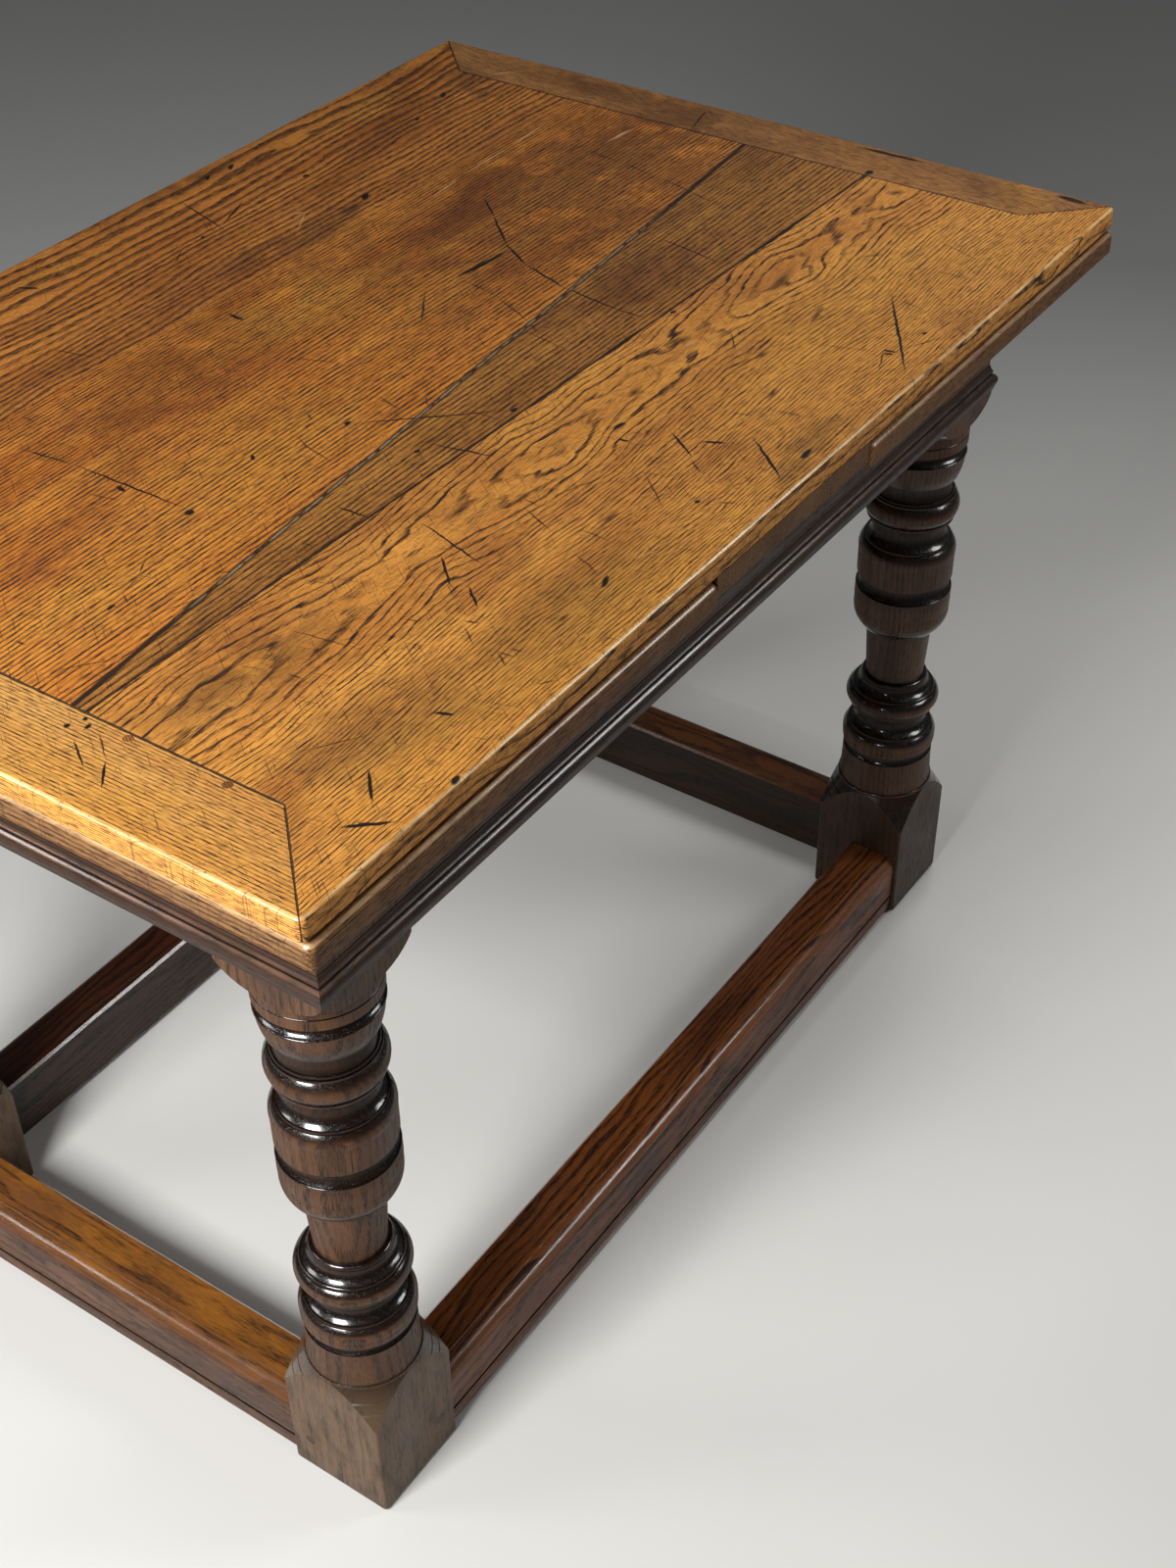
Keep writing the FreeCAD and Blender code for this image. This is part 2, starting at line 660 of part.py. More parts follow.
# Stretcher along X: rounded outer edge above, groove and bead below, chamfers inside
def stretcher_blank(shoulder, face):
    low, high = stretcher_bottom, stretcher_bottom + stretcher_height
    brow = high - stretcher_quirk
    groove = low + stretcher_groove_height
    round_share = 1 - math.sqrt(0.5)

    def at(back, z):
        return vec(-shoulder, face - back, z)

    inner_top = at(stretcher_width - stretcher_chamfer, high)
    quirk = at(stretcher_round + stretcher_quirk, high)
    round_top = at(stretcher_round, brow)
    round_middle = at(stretcher_round * round_share, brow - stretcher_round * round_share)
    round_end = at(0, brow - stretcher_round)
    groove_top = at(0, groove + stretcher_groove_width)
    groove_root = at(stretcher_groove_depth, groove)
    bead_top = at(0, groove)
    bead_end = at(0, low + stretcher_foot_round)
    bead_middle = at(stretcher_foot_round * round_share, low + stretcher_foot_round * round_share)
    foot = at(stretcher_foot_round, low)
    inner_foot = at(stretcher_width - stretcher_chamfer, low)
    inner_low = at(stretcher_width, low + stretcher_chamfer)
    inner_high = at(stretcher_width, high - stretcher_chamfer)
    section = [edge(inner_top, quirk), edge(quirk, round_top), edge(round_top, round_middle, round_end),
               edge(round_end, groove_top), edge(groove_top, groove_root), edge(groove_root, bead_top),
               edge(bead_top, bead_end), edge(bead_end, bead_middle, foot), edge(foot, inner_foot),
               edge(inner_foot, inner_low), edge(inner_low, inner_high), edge(inner_high, inner_top)]
    return Part.Face(Part.Wire(section)).extrude(vec(2 * shoulder, 0, 0))


def make_stretchers():
    out = half_square - stretcher_set_back
    middle = out - stretcher_width / 2
    half = stretcher_tenon_thickness / 2
    tenon_low = stretcher_bottom + stretcher_tenon_shoulder
    tenon_high = stretcher_bottom + stretcher_height - stretcher_tenon_shoulder
    pins = stretcher_pins()

    def stretcher(shoulder, axis_y):
        return tenoned(stretcher_blank(shoulder, axis_y + out), shoulder, stretcher_tenon_length,
                       axis_y + middle - half, axis_y + middle + half, tenon_low, tenon_high)

    long_one = stretcher(leg_x - half_square, leg_y)
    long_one = drilled(long_one, pins, stretcher_pin_radius, stretcher_pin_length)
    save_on_frame("back_stretcher", long_one)
    save_on_frame("front_stretcher", half_turn(long_one))
    end_one = quarter_turn(stretcher(leg_y - half_square, leg_x))
    end_one = drilled(end_one, pins, stretcher_pin_radius, stretcher_pin_length)
    save_on_frame("east_stretcher", end_one)
    save_on_frame("west_stretcher", half_turn(end_one))
    save_on_frame("stretcher_tenon_pins", *pin_rods(pins, stretcher_pin_radius, stretcher_pin_length))


os.makedirs("parts", exist_ok=True)
make_top()
make_centre()
make_leaves()
make_rails()
make_mouldings()
make_legs()
make_stretchers()
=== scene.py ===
import bpy
import math
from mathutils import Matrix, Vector


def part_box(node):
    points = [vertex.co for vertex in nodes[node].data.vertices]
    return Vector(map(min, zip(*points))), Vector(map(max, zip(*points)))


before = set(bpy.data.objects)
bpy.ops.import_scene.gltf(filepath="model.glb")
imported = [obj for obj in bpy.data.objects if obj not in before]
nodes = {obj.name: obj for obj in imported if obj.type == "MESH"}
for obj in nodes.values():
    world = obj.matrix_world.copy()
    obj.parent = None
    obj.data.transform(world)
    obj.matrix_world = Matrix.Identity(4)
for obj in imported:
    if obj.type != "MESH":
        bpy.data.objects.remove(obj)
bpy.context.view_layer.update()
print("frame loaded:", len(nodes), "nodes")

mmPerMetre = 1000  # the wood is drawn in millimetres


# the corners of a piece in millimetres
def boxOf(name):
    return [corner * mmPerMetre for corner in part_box(name)]


legLow, legHigh = boxOf("east_back_leg")
frontLegLow, frontLegHigh = boxOf("east_front_leg")
table = {
    "halfLength": boxOf("top_east_clamp")[1].x,
    "halfWidth": boxOf("top_back_board")[1].y,
    "height": boxOf("top_middle_board")[1].z,
    "legX": (legLow.x + legHigh.x) / 2,
    "legY": (legLow.y + legHigh.y - frontLegLow.y - frontLegHigh.y) / 4,
    "frameY": (legLow.y + legHigh.y + frontLegLow.y + frontLegHigh.y) / 4,
    "westClampX": boxOf("top_west_clamp")[1].x,
    "eastClampX": boxOf("top_east_clamp")[0].x,
}


# an sRGB hex colour as Blender's linear one
def linear(hexColour):
    parts = [int(hexColour[i:i + 2], 16) / 255 for i in (1, 3, 5)]
    return [c / 12.92 if c <= 0.04045 else ((c + 0.055) / 1.055) ** 2.4 for c in parts] + [1]


# adds one node with its settings; an input is a number, a colour, a node, or a node with one of its outputs
def addNode(tree, kind, inputs=(), **settings):
    node = tree.nodes.new("ShaderNode" + kind)
    for name, value in settings.items():
        setattr(node, name, value)
    for name, value in inputs.items() if isinstance(inputs, dict) else enumerate(inputs):
        source = value if isinstance(value, tuple) else (value, 0)
        if isinstance(source[0], bpy.types.Node):
            tree.links.new(source[0].outputs[source[1]], node.inputs[name])
        else:
            node.inputs[name].default_value = value
    return node


mixLow, mixHigh, mixResult = 6, 7, 2  # the colour sockets of a Mix node
middle = (0.5, 0.5, 0.5)  # a noise lies about this

# Oak is drawn as the tree grew: rings about a heart line, rows of open pores along the fibres, and a
# wandering grain. Where the heart lies sets the figure: far to one side gives fine straight lines,
# just under the board gives arches.
turns = {
    "X": (0, 0, 0),
    "Y": (0, 0, -math.pi / 2),
    "Z": (0, math.pi / 2, 0),
}


# what all the oak shares, sizes in millimetres; the rest is in each board's own look
oakGrowth = {
    "ragSize": (26, 4, 4),
    "dipReach": 600,  # the dips of a heart are given so far each way from the middle of the board
    "dipDepth": 60,
    "line": ((0.6, 0.8), (1, 0.1)),  # what is left of a line at these parts of its width
    "nextLine": 0.92,
    "yearScale": 0.43,
    "years": (0.34, 0.58),
    "flatRing": (0.22, 0.4),  # a ring flatter than this fades, down to this
    "pores": (0.5, 0.59),
    "poreRows": (0.6, 0.4),
    "lineBreaks": (2.2, -0.1),
    "drift": (0.34, 0.66),
    "stainSize": (150, 75, 75),
    "stain": (0.52, 0.76),
}


def startOak(look):
    material = bpy.data.materials.new(look["name"])
    material.use_nodes = True
    tree = material.node_tree
    tree.nodes.clear()
    spot = addNode(tree, "TexCoord")
    place = addNode(tree, "VectorMath", [(spot, "Object"), [mmPerMetre] * 3], operation="MULTIPLY")
    along = addNode(tree, "Mapping", {"Vector": place, "Rotation": turns[look["grain"]]})
    # each board is cut from another part of the tree, so its patterns start elsewhere
    grown = addNode(tree, "VectorMath", [along, look["shift"]], operation="ADD")
    # the rings wander over a hand's length, and their edges are ragged at the size of the pores
    wanderPlace = addNode(tree, "VectorMath", [grown, look["wanderSize"]], operation="DIVIDE")
    wander = addNode(tree, "TexNoise", {"Vector": wanderPlace, "Scale": 1, "Detail": 2})
    wandered = addNode(tree, "VectorMath", [(wander, "Color"), middle], operation="SUBTRACT")
    ragPlace = addNode(tree, "VectorMath", [grown, oakGrowth["ragSize"]], operation="DIVIDE")
    rag = addNode(tree, "TexNoise", {"Vector": ragPlace, "Scale": 1, "Detail": 2})
    ragged = addNode(tree, "VectorMath", [(rag, "Color"), middle], operation="SUBTRACT")
    moved = addNode(tree, "VectorMath", [wandered, [look["wander"]] * 3, along], operation="MULTIPLY_ADD")
    moved = addNode(tree, "VectorMath", [ragged, [look["rag"]] * 3, moved], operation="MULTIPLY_ADD")
    parts = addNode(tree, "SeparateXYZ", [moved])
    across = addNode(tree, "Math", [(parts, "Y"), look["heart"][0]], operation="SUBTRACT")
    depth = addNode(tree, "Math", [(parts, "Z"), look["heart"][1]], operation="SUBTRACT")
    if look["heartDips"]:
        # the heart of an arched board comes near the surface and dips away along its length
        reach, deepest = oakGrowth["dipReach"], oakGrowth["dipDepth"]
        run = addNode(tree, "MapRange", [(parts, "X"), -reach, reach])
        dips = addNode(tree, "FloatCurve", {"Value": run})
        curve = dips.mapping.curves[0]
        places = [((x + reach) / (2 * reach), deep / deepest) for x, deep in look["heartDips"]]
        for dipPlace in places[1:-1]:
            curve.points.new(*dipPlace)
        curve.points[0].location, curve.points[-1].location = places[0], places[-1]
        for point in curve.points:
            point.handle_type = "VECTOR"  # the arches come to points
        dips.mapping.update()
        depth = addNode(tree, "Math", [dips, deepest, depth], operation="MULTIPLY_ADD")
    fromHeart = addNode(tree, "CombineXYZ", {"Y": across, "Z": depth})
    radius = addNode(tree, "VectorMath", [fromHeart], operation="LENGTH")
    rings = addNode(tree, "Math", [(radius, "Value"), look["ring"]], operation="DIVIDE")
    ring = addNode(tree, "Math", [rings], operation="FRACT")
    # each line starts sharp and dark, and fades over its width
    lines = addNode(tree, "ValToRGB", [ring])
    stops = lines.color_ramp.elements
    (partWay, partGrey), (lineEnd, endGrey) = oakGrowth["line"]
    stops[0].position, stops[0].color = 0, (1, 1, 1, 1)
    stops[1].position, stops[1].color = look["lineWidth"] * lineEnd, (endGrey, endGrey, endGrey, 1)
    for position, grey in ((look["lineWidth"] * partWay, partGrey), (oakGrowth["nextLine"], 0), (1, 1)):
        stops.new(position).color = (grey, grey, grey, 1)
    # good and poor years: some rings are dark and some hardly show
    years = addNode(tree, "TexNoise", {"W": rings, "Scale": oakGrowth["yearScale"], "Detail": 1},
                    noise_dimensions="1D")
    years = addNode(tree, "MapRange", [years, *oakGrowth["years"], look["poorYear"], 1])
    lines = addNode(tree, "Math", [lines, years], operation="MULTIPLY")
    # a ring that lies almost flat in the surface is cut wide and pale
    aside = addNode(tree, "Math", [across], operation="ABSOLUTE")
    steep = addNode(tree, "Math", [aside, (radius, "Value")], operation="DIVIDE")
    flat, flatGrey = oakGrowth["flatRing"]
    steep = addNode(tree, "MapRange", [steep, 0, flat, flatGrey, 1])
    lines = addNode(tree, "Math", [lines, steep], operation="MULTIPLY")
    # pores: short dark strokes along the fibres, drawn two or three times as coarse as real ones so that
    # they show
    porePlace = addNode(tree, "VectorMath", [grown, look["pore"]], operation="DIVIDE")
    poreNoise = addNode(tree, "TexNoise", {"Vector": porePlace, "Scale": 1, "Detail": 1.5})
    pores = addNode(tree, "MapRange", [poreNoise, *oakGrowth["pores"]])
    inRows = addNode(tree, "Math", [lines, *oakGrowth["poreRows"]], operation="MULTIPLY_ADD")
    pores = addNode(tree, "Math", [pores, inRows], operation="MULTIPLY")
    broken = addNode(tree, "Math", [poreNoise, *oakGrowth["lineBreaks"]], operation="MULTIPLY_ADD")
    lines = addNode(tree, "Math", [lines, broken], operation="MULTIPLY", use_clamp=True)
    # the ground colour drifts along each board
    driftPlace = addNode(tree, "VectorMath", [grown, look["driftSize"]], operation="DIVIDE")
    drift = addNode(tree, "TexNoise", {"Vector": driftPlace, "Scale": 1, "Detail": 4})
    drifted = addNode(tree, "MapRange", [drift, *oakGrowth["drift"]])
    stainPlace = addNode(tree, "VectorMath", [grown, oakGrowth["stainSize"]], operation="DIVIDE")
    stain = addNode(tree, "TexNoise", {"Vector": stainPlace, "Scale": 1, "Detail": 4, "Distortion": 0.4})
    stained = addNode(tree, "MapRange", [stain, *oakGrowth["stain"]])
    colour = addNode(tree, "Mix", {"Factor": drifted, mixLow: linear(look["light"]),
                                   mixHigh: linear(look["warm"])}, data_type="RGBA")
    colour = addNode(tree, "Mix", {"Factor": stained, mixLow: (colour, mixResult),
                                   mixHigh: linear(look["stain"])}, data_type="RGBA")
    return {"tree": tree, "material": material, "spot": spot, "place": place, "grown": grown, "lines": lines,
            "pores": pores, "drift": drift, "colour": colour, "look": look, "height": 0.0, "polish": None}


# lays a colour over the wood where a mask is, and cuts the surface down there by so many millimetres
def lay(oak, mask, hexColour, strength, cut=0):
    tree = oak["tree"]
    amount = addNode(tree, "Math", [mask, strength], operation="MULTIPLY", use_clamp=True)
    oak["colour"] = addNode(tree, "Mix", {"Factor": amount, mixLow: (oak["colour"], mixResult),
                                          mixHigh: linear(hexColour)}, data_type="RGBA")
    if cut:
        oak["height"] = addNode(tree, "Math", [mask, -cut, oak["height"]], operation="MULTIPLY_ADD")


# how deep the grain is felt in millimetres, and how the gloss of the finished surface varies
oakSurface = {
    "lineCut": 0.05,
    "poreCut": 0.12,
    "bumpUnit": 0.001,
    "waves": (0.3, 0.7),
    "poreDull": 0.2,
    "polishGloss": -0.28,
}


def addFigure(oak):
    look = oak["look"]
    lay(oak, oak["lines"], look["line"], look["lineStrength"], oakSurface["lineCut"])
    lay(oak, oak["pores"], look["poreColour"], look["poreStrength"], oakSurface["poreCut"])


def closeOak(oak):
    tree, look = oak["tree"], oak["look"]
    # the surface is planed and waxed by hand, so it is never quite flat and its gloss is uneven
    wavePlace = addNode(tree, "VectorMath", [oak["grown"], look["waveSize"]], operation="DIVIDE")
    wave = addNode(tree, "TexNoise", {"Vector": wavePlace, "Scale": 1, "Detail": 4})
    height = addNode(tree, "Math", [wave, look["wave"], oak["height"]], operation="MULTIPLY_ADD")
    bump = addNode(tree, "Bump", {"Height": height, "Distance": oakSurface["bumpUnit"], "Strength": 1})
    gloss = addNode(tree, "MapRange", [wave, *oakSurface["waves"], *look["rough"]])
    gloss = addNode(tree, "Math", [oak["pores"], oakSurface["poreDull"], gloss], operation="MULTIPLY_ADD")
    if oak["polish"]:
        gloss = addNode(tree, "Math", [oak["polish"], oakSurface["polishGloss"], gloss],
                        operation="MULTIPLY_ADD", use_clamp=True)
    # where hands and cloths have polished it, a clear coat of wax lies over the wood
    shader = addNode(tree, "BsdfPrincipled", {
        "Base Color": (oak["colour"], mixResult), "Roughness": gloss, "Normal": bump, "IOR": look["ior"],
        "Coat Weight": oak["polish"] or 0, "Coat Roughness": look["waxRough"]})
    addNode(tree, "OutputMaterial", {"Surface": shader})
    return oak["material"]


def dress(material, *names):
    for name in names:
        for slot in nodes[name].material_slots:
            slot.material = material


# shakes the place a little, so that what is drawn from it has a ragged edge
def shaken(oak, size, reach):
    tree = oak["tree"]
    shakePlace = addNode(tree, "VectorMath", [oak["place"], [size] * 3], operation="DIVIDE")
    shake = addNode(tree, "TexNoise", {"Vector": shakePlace, "Scale": 1, "Detail": 3})
    centred = addNode(tree, "VectorMath", [(shake, "Color"), middle], operation="SUBTRACT")
    return addNode(tree, "VectorMath", [centred, [reach] * 3, oak["place"]], operation="MULTIPLY_ADD")


# the marks that touch one board: each runs from one point of the top to another, and is so wide in the middle
def marksOn(name, marks):
    low, high = boxOf(name)
    return [(x0, y0, x1, y1, width) for x0, y0, x1, y1, width in marks
            if min(x0, x1) - width < high.x and max(x0, x1) + width > low.x
            and min(y0, y1) - width < high.y and max(y0, y1) + width > low.y]


markDepth = 9  # how far down a mark reaches, in millimetres


# draws the marks as long lenses that are full in the middle and run out to nothing
def drawMarks(oak, marks, place):
    tree = oak["tree"]
    drawn = None
    for x0, y0, x1, y1, width in marks:
        lens = addNode(tree, "Mapping", {
            "Vector": place, "Location": ((x0 + x1) / 2, (y0 + y1) / 2, table["height"]),
            "Rotation": (0, 0, math.atan2(y1 - y0, x1 - x0)),
            "Scale": ((math.hypot(x1 - x0, y1 - y0) + width) / 2, width / 2, markDepth)}, vector_type="TEXTURE")
        mark = (addNode(tree, "TexGradient", [lens], gradient_type="SPHERICAL"), "Fac")
        drawn = addNode(tree, "Math", [drawn, mark], operation="MAXIMUM") if drawn else mark
    return drawn


# wear of the top, read off the table: strokes are cuts and cracks, spots are dents, knots are dark eyes,
# patches are where polish, heat and wet have changed the colour (x to the east, y to the back)
topWear = {
    "cracks": (
        (273, 112, 245, 80, 2.4), (248, 84, 205, 37, 3), (207, 40, 182, -1, 3.2), (184, 3, 164, -56, 2.8),
        (166, -50, 156, -118, 2.4), (156, -112, 158, -141, 1.8), (-280, 140, -274, 94, 1.8),
        (-274, 98, -274, -26, 2), (311, -287, 188, -367, 3), (40, -315, -2, -365, 3),
        (13, -257, -10, -292, 2.6), (-436, -322, -461, -346, 3), (-490, -343, -468, -368, 4),
        (-220, -214, -249, -245, 2.4), (-240, -253, -259, -276, 2.4), (-193, -174, -215, -249, 2),
        (-211, -111, -210, -142, 2.2), (290, -63, 277, -143, 2), (-115, -42, -26, -138, 2.2),
        (-103, -113, -90, -170, 2), (-522, -180, -543, -197, 2.4), (-517, -147, -534, -174, 2),
        (507, 36, 555, 48, 2.2), (148, 294, 100, 276, 2.6), (116, 346, 91, 262, 2),
    ),
    "scratches": (
        (-157, -38, -165, -70, 2), (-338, -42, -357, -53, 2), (-357, -53, -380, -59, 2),
        (-380, -59, -387, -72, 1.8), (-474, -82, -434, -113, 1.6), (-70, -34, -74, -67, 1.6),
        (-47, -67, -59, -80, 1.8), (-45, -107, -45, -142, 1.6), (-295, -118, -282, -131, 2),
        (-386, -96, -349, -109, 1.6), (-326, -95, -315, -107, 1.8), (-136, -224, -153, -265, 2),
        (-118, -234, -61, -255, 2), (-126, -215, -130, -238, 1.6), (-280, -280, -295, -299, 2),
        (-276, -276, -272, -288, 2.2), (-138, -274, -140, -309, 1.8), (-47, -272, -84, -315, 2),
        (-13, -292, -26, -309, 2), (-453, -272, -401, -307, 1.6), (-165, -288, -180, -324, 2),
        (-303, -332, -293, -317, 2.2), (-293, -317, -290, -330, 2.2), (-286, -320, -282, -332, 2.4),
        (-307, -359, -297, -367, 2.2), (-55, -340, -47, -353, 2), (-388, -215, -387, -228, 2),
        (-297, -240, -292, -253, 1.8), (-261, -122, -262, -132, 2), (-461, -38, -461, -48, 2.4),
        (113, -34, 98, -63, 2.2), (98, -63, 88, -80, 1.8), (88, -45, 75, -126, 1.4), (386, -38, 377, -70, 2),
        (84, -120, 117, -118, 2.6), (192, -276, 211, -330, 1.6), (353, -276, 365, -295, 1.8),
        (365, -295, 366, -334, 1.6), (300, -301, 296, -326, 1.8), (182, -345, 217, -332, 2),
        (228, -345, 263, -363, 1.8), (84, -305, 88, -334, 2), (148, -234, 178, -209, 2),
        (355, -238, 367, -249, 2.4), (-157, 249, -141, 190, 2), (130, 30, 123, -10, 2),
        (123, -10, 100, -58, 1.8), (411, 94, 405, 49, 2.2), (405, 49, 398, 8, 2.4), (398, 8, 382, -56, 2.4),
        (291, 71, 287, 35, 1.8), (39, 5, 100, 46, 3), (-150, -19, -164, -58, 2), (-66, -33, -73, -56, 1.8),
        (-118, -6, -125, -15, 2.4), (545, 35, 555, 46, 2), (16, 258, 45, 274, 2.4), (-245, 178, -244, 164, 2),
        (-501, -153, -522, -182, 1.8), (-300, 60, -290, 20, 1.6), (60, -280, 70, -300, 2),
        (420, -270, 400, -330, 1.6), (-350, -180, -340, -240, 1.6), (-60, 70, -40, 20, 1.6),
        (330, 120, 350, 60, 1.6),
    ),
    "spots": (
        (-28, -138, -25, -138, 6), (-400, -65, -393, -64, 4), (-118, -113, -116, -113, 4.5),
        (-18, -231, -18, -238, 3.5), (-368, -322, -363, -334, 4), (-62, -328, -60, -328, 4.5),
        (-510, -134, -508, -134, 4.5), (-503, -146, -501, -146, 4.5), (-498, -139, -497, -139, 4),
        (-418, -375, -412, -374, 5), (177, -154, 180, -154, 5), (-6, -219, 3, -221, 6),
        (13, -286, 21, -302, 4), (216, -333, 218, -341, 4), (211, -336, 213, -341, 3.5),
        (258, -346, 260, -346, 4.5), (34, -361, 48, -360, 6), (-277, -27, -275, -27, 8),
        (-281, 34, -279, 42, 5), (-27, 154, -29, 140, 5), (69, 273, 71, 273, 5), (440, 287, 450, 293, 6),
        (381, 274, 384, 275, 5.5), (219, 281, 222, 281, 5.5), (-115, -42, -112, -42, 5),
        (-194, -17, -191, -12, 4), (212, 203, 220, 208, 8), (-89, 340, -82, 326, 5), (194, 351, 202, 356, 6),
        (165, 354, 171, 357, 5), (557, -118, 559, -195, 7), (508, -157, 514, -157, 8),
        (559, -326, 557, -353, 9), (78, -147.2, 138, -148.5, 5.5), (284, -151.9, 421, -155.1, 5.5),
        (130, 36, 200, 29, 6), (-190, -332, -178, -328, 5),
    ),
    "knots": (
        (134, -186, 147, -187, 11), (41, -201, 56, -201, 10), (256, -202, 296, -199, 13),
        (368, -199, 380, -199, 9), (-184, -190, -150, -190, 9), (482, -196, 489, -202, 12),
        (149, -253, 162, -255, 8), (221, -261, 255, -253, 7), (98, -294, 112, -292, 8),
        (-126, -288, -103, -286, 8), (175, 201, 206, 199, 12), (-240, -331, -232, -331, 6),
    ),
    "redPatches": (
        (-330, 100, 120, 150, 190), (380, 70, 540, 60, 150), (260, 282, 490, 278, 110),
        (-560, 60, -420, 90, 160), (-100, 220, 130, 210, 90), (120, -95, 300, -100, 110),
        (-520, 250, -300, 240, 120),
    ),
    "brownPatches": (
        (60, 362, 220, 364, 40), (0, 204, 260, 200, 60), (470, 250, 510, 330, 70),
        (-330, -330, -120, -330, 110), (-20, -360, 120, -356, 60), (530, 100, 550, 240, 60),
        (525, -320, 545, -240, 60), (-470, -290, -310, -330, 120), (80, 50, 560, 60, 420),
        (-480, -180, -330, -200, 90),
    ),
    "goldPatches": (
        (-300, -20, -60, -20, 190), (-480, -330, -60, -352, 120), (-60, 120, 100, 100, 110),
        (-550, -330, -540, -60, 90), (300, -320, 480, -330, 90), (-460, -40, -330, -60, 110),
        (250, 340, 470, 338, 56), (-100, 340, 0, 336, 56), (40, -262, 470, -268, 130),
        (490, -340, 556, -290, 90),
    ),
    "paleScratches": (
        (241, 152, 300, 158, 3), (300, 158, 380, 159, 3), (370, 159, 450, 163, 3), (159, 230, 130, 213, 3),
        (150, 238, 160, 230, 3), (509, 285, 536, 262, 3), (435, 88, 480, 83, 5), (134, -195, 144, -195, 5),
        (-380, -137, -300, -139, 3), (372, -204, 380, -204, 4), (-150, -330, -130, -340, 2),
    ),
}


# how each kind of mark looks; the cut is its depth in millimetres
patchKinds = (
    {"marks": "redPatches", "colour": "#6a3210", "strength": 0.4},
    {"marks": "brownPatches", "colour": "#523417", "strength": 0.55},
    {"marks": "goldPatches", "colour": "#cf9238", "strength": 0.5},
)
patchEdge = {"size": 40, "reach": 34, "soft": 0.8}
wearKinds = (
    {"marks": "knots", "colour": "#351c0a", "strength": 1, "cut": 0.1},
    {"marks": "scratches", "colour": "#2c180a", "strength": 1.3, "cut": 0.15},
    {"marks": "paleScratches", "colour": "#b98a5c", "strength": 1.3, "cut": 0.1},
    {"marks": "cracks", "colour": "#190c05", "strength": 3, "cut": 0.4},
    {"marks": "spots", "colour": "#180c06", "strength": 2.6, "cut": 0.3},
)
wearEdge = {"size": 9, "reach": 3.4}


def addPatches(oak, name):
    place = shaken(oak, patchEdge["size"], patchEdge["reach"])
    for kind in patchKinds:
        marks = marksOn(name, topWear[kind["marks"]])
        if marks:
            patches = drawMarks(oak, marks, place)
            soft = addNode(oak["tree"], "MapRange", [patches, 0, patchEdge["soft"]],
                           interpolation_type="SMOOTHSTEP")
            lay(oak, soft, kind["colour"], kind["strength"])


def addWear(oak, name):
    place = shaken(oak, wearEdge["size"], wearEdge["reach"])
    for kind in wearKinds:
        marks = marksOn(name, topWear[kind["marks"]])
        if marks:
            lay(oak, drawMarks(oak, marks, place), kind["colour"], kind["strength"], kind["cut"])


# fine strokes and dents all over, where plates and knives have been dragged
fineScratches = {
    "strokes": ((0.4, (34, 1.2, 400)), (1.25, (24, 1.2, 400)), (2.2, (30, 1.2, 400))),  # angle and size
    "strokeFrom": (0.735, 0.785),
    "strokeColour": "#2a160a",
    "dentSize": (2.6, 2.6, 2.6),
    "dentFrom": (0.76, 0.8),
    "dentColour": "#1d1009",
    "cut": 0.1,
}


def addScratches(oak, strength):
    tree = oak["tree"]
    found = None
    for angle, size in fineScratches["strokes"]:
        turned = addNode(tree, "Mapping", {"Vector": oak["place"], "Rotation": (0, 0, angle)})
        stretched = addNode(tree, "VectorMath", [turned, size], operation="DIVIDE")
        noise = addNode(tree, "TexNoise", {"Vector": stretched, "Scale": 1, "Detail": 0})
        stroke = addNode(tree, "MapRange", [noise, *fineScratches["strokeFrom"]])
        found = addNode(tree, "Math", [found, stroke], operation="MAXIMUM") if found else stroke
    dentPlace = addNode(tree, "VectorMath", [oak["place"], fineScratches["dentSize"]], operation="DIVIDE")
    dents = addNode(tree, "TexNoise", {"Vector": dentPlace, "Scale": 1, "Detail": 0})
    dents = addNode(tree, "MapRange", [dents, *fineScratches["dentFrom"]])
    lay(oak, found, fineScratches["strokeColour"], strength, fineScratches["cut"])
    lay(oak, dents, fineScratches["dentColour"], strength, fineScratches["cut"])


# joints of the top: irregular lines filled with old wax and dirt; the slanting one has a pale chipped filling
topJoints = {
    "front": {"line": (-492, -134, 504, -157), "half": 1.1, "strength": 1},
    "wedge": {"line": (-492, -122, 504, -26), "half": 2.3, "strength": 1},
    "back": {"line": (-492, 190, 504, 172), "half": 0.5, "strength": 0.25},
    "fade": (0.7, 1.3),  # where the edge of a joint starts and ends, in half widths
    "clampHalf": 1,
    "clampStrength": 0.9,
    "clampFade": (0.5, 1.4),
    "ragSize": (14, 14, 14),
    "rag": (-2.4, 1.15),
    "dirt": "#1a0e07",
    "dirtStrength": 0.95,
    "cut": 0.7,
    "filled": (-390, -330, 270, 340),
    "filling": "#ae9670",
    "fillingStrength": 0.5,
    "core": (0.4, 1.4),
    "chips": (0.38, 0.52),
    "farOff": 1000,  # puts a clamp's line out of reach where it does not run
}


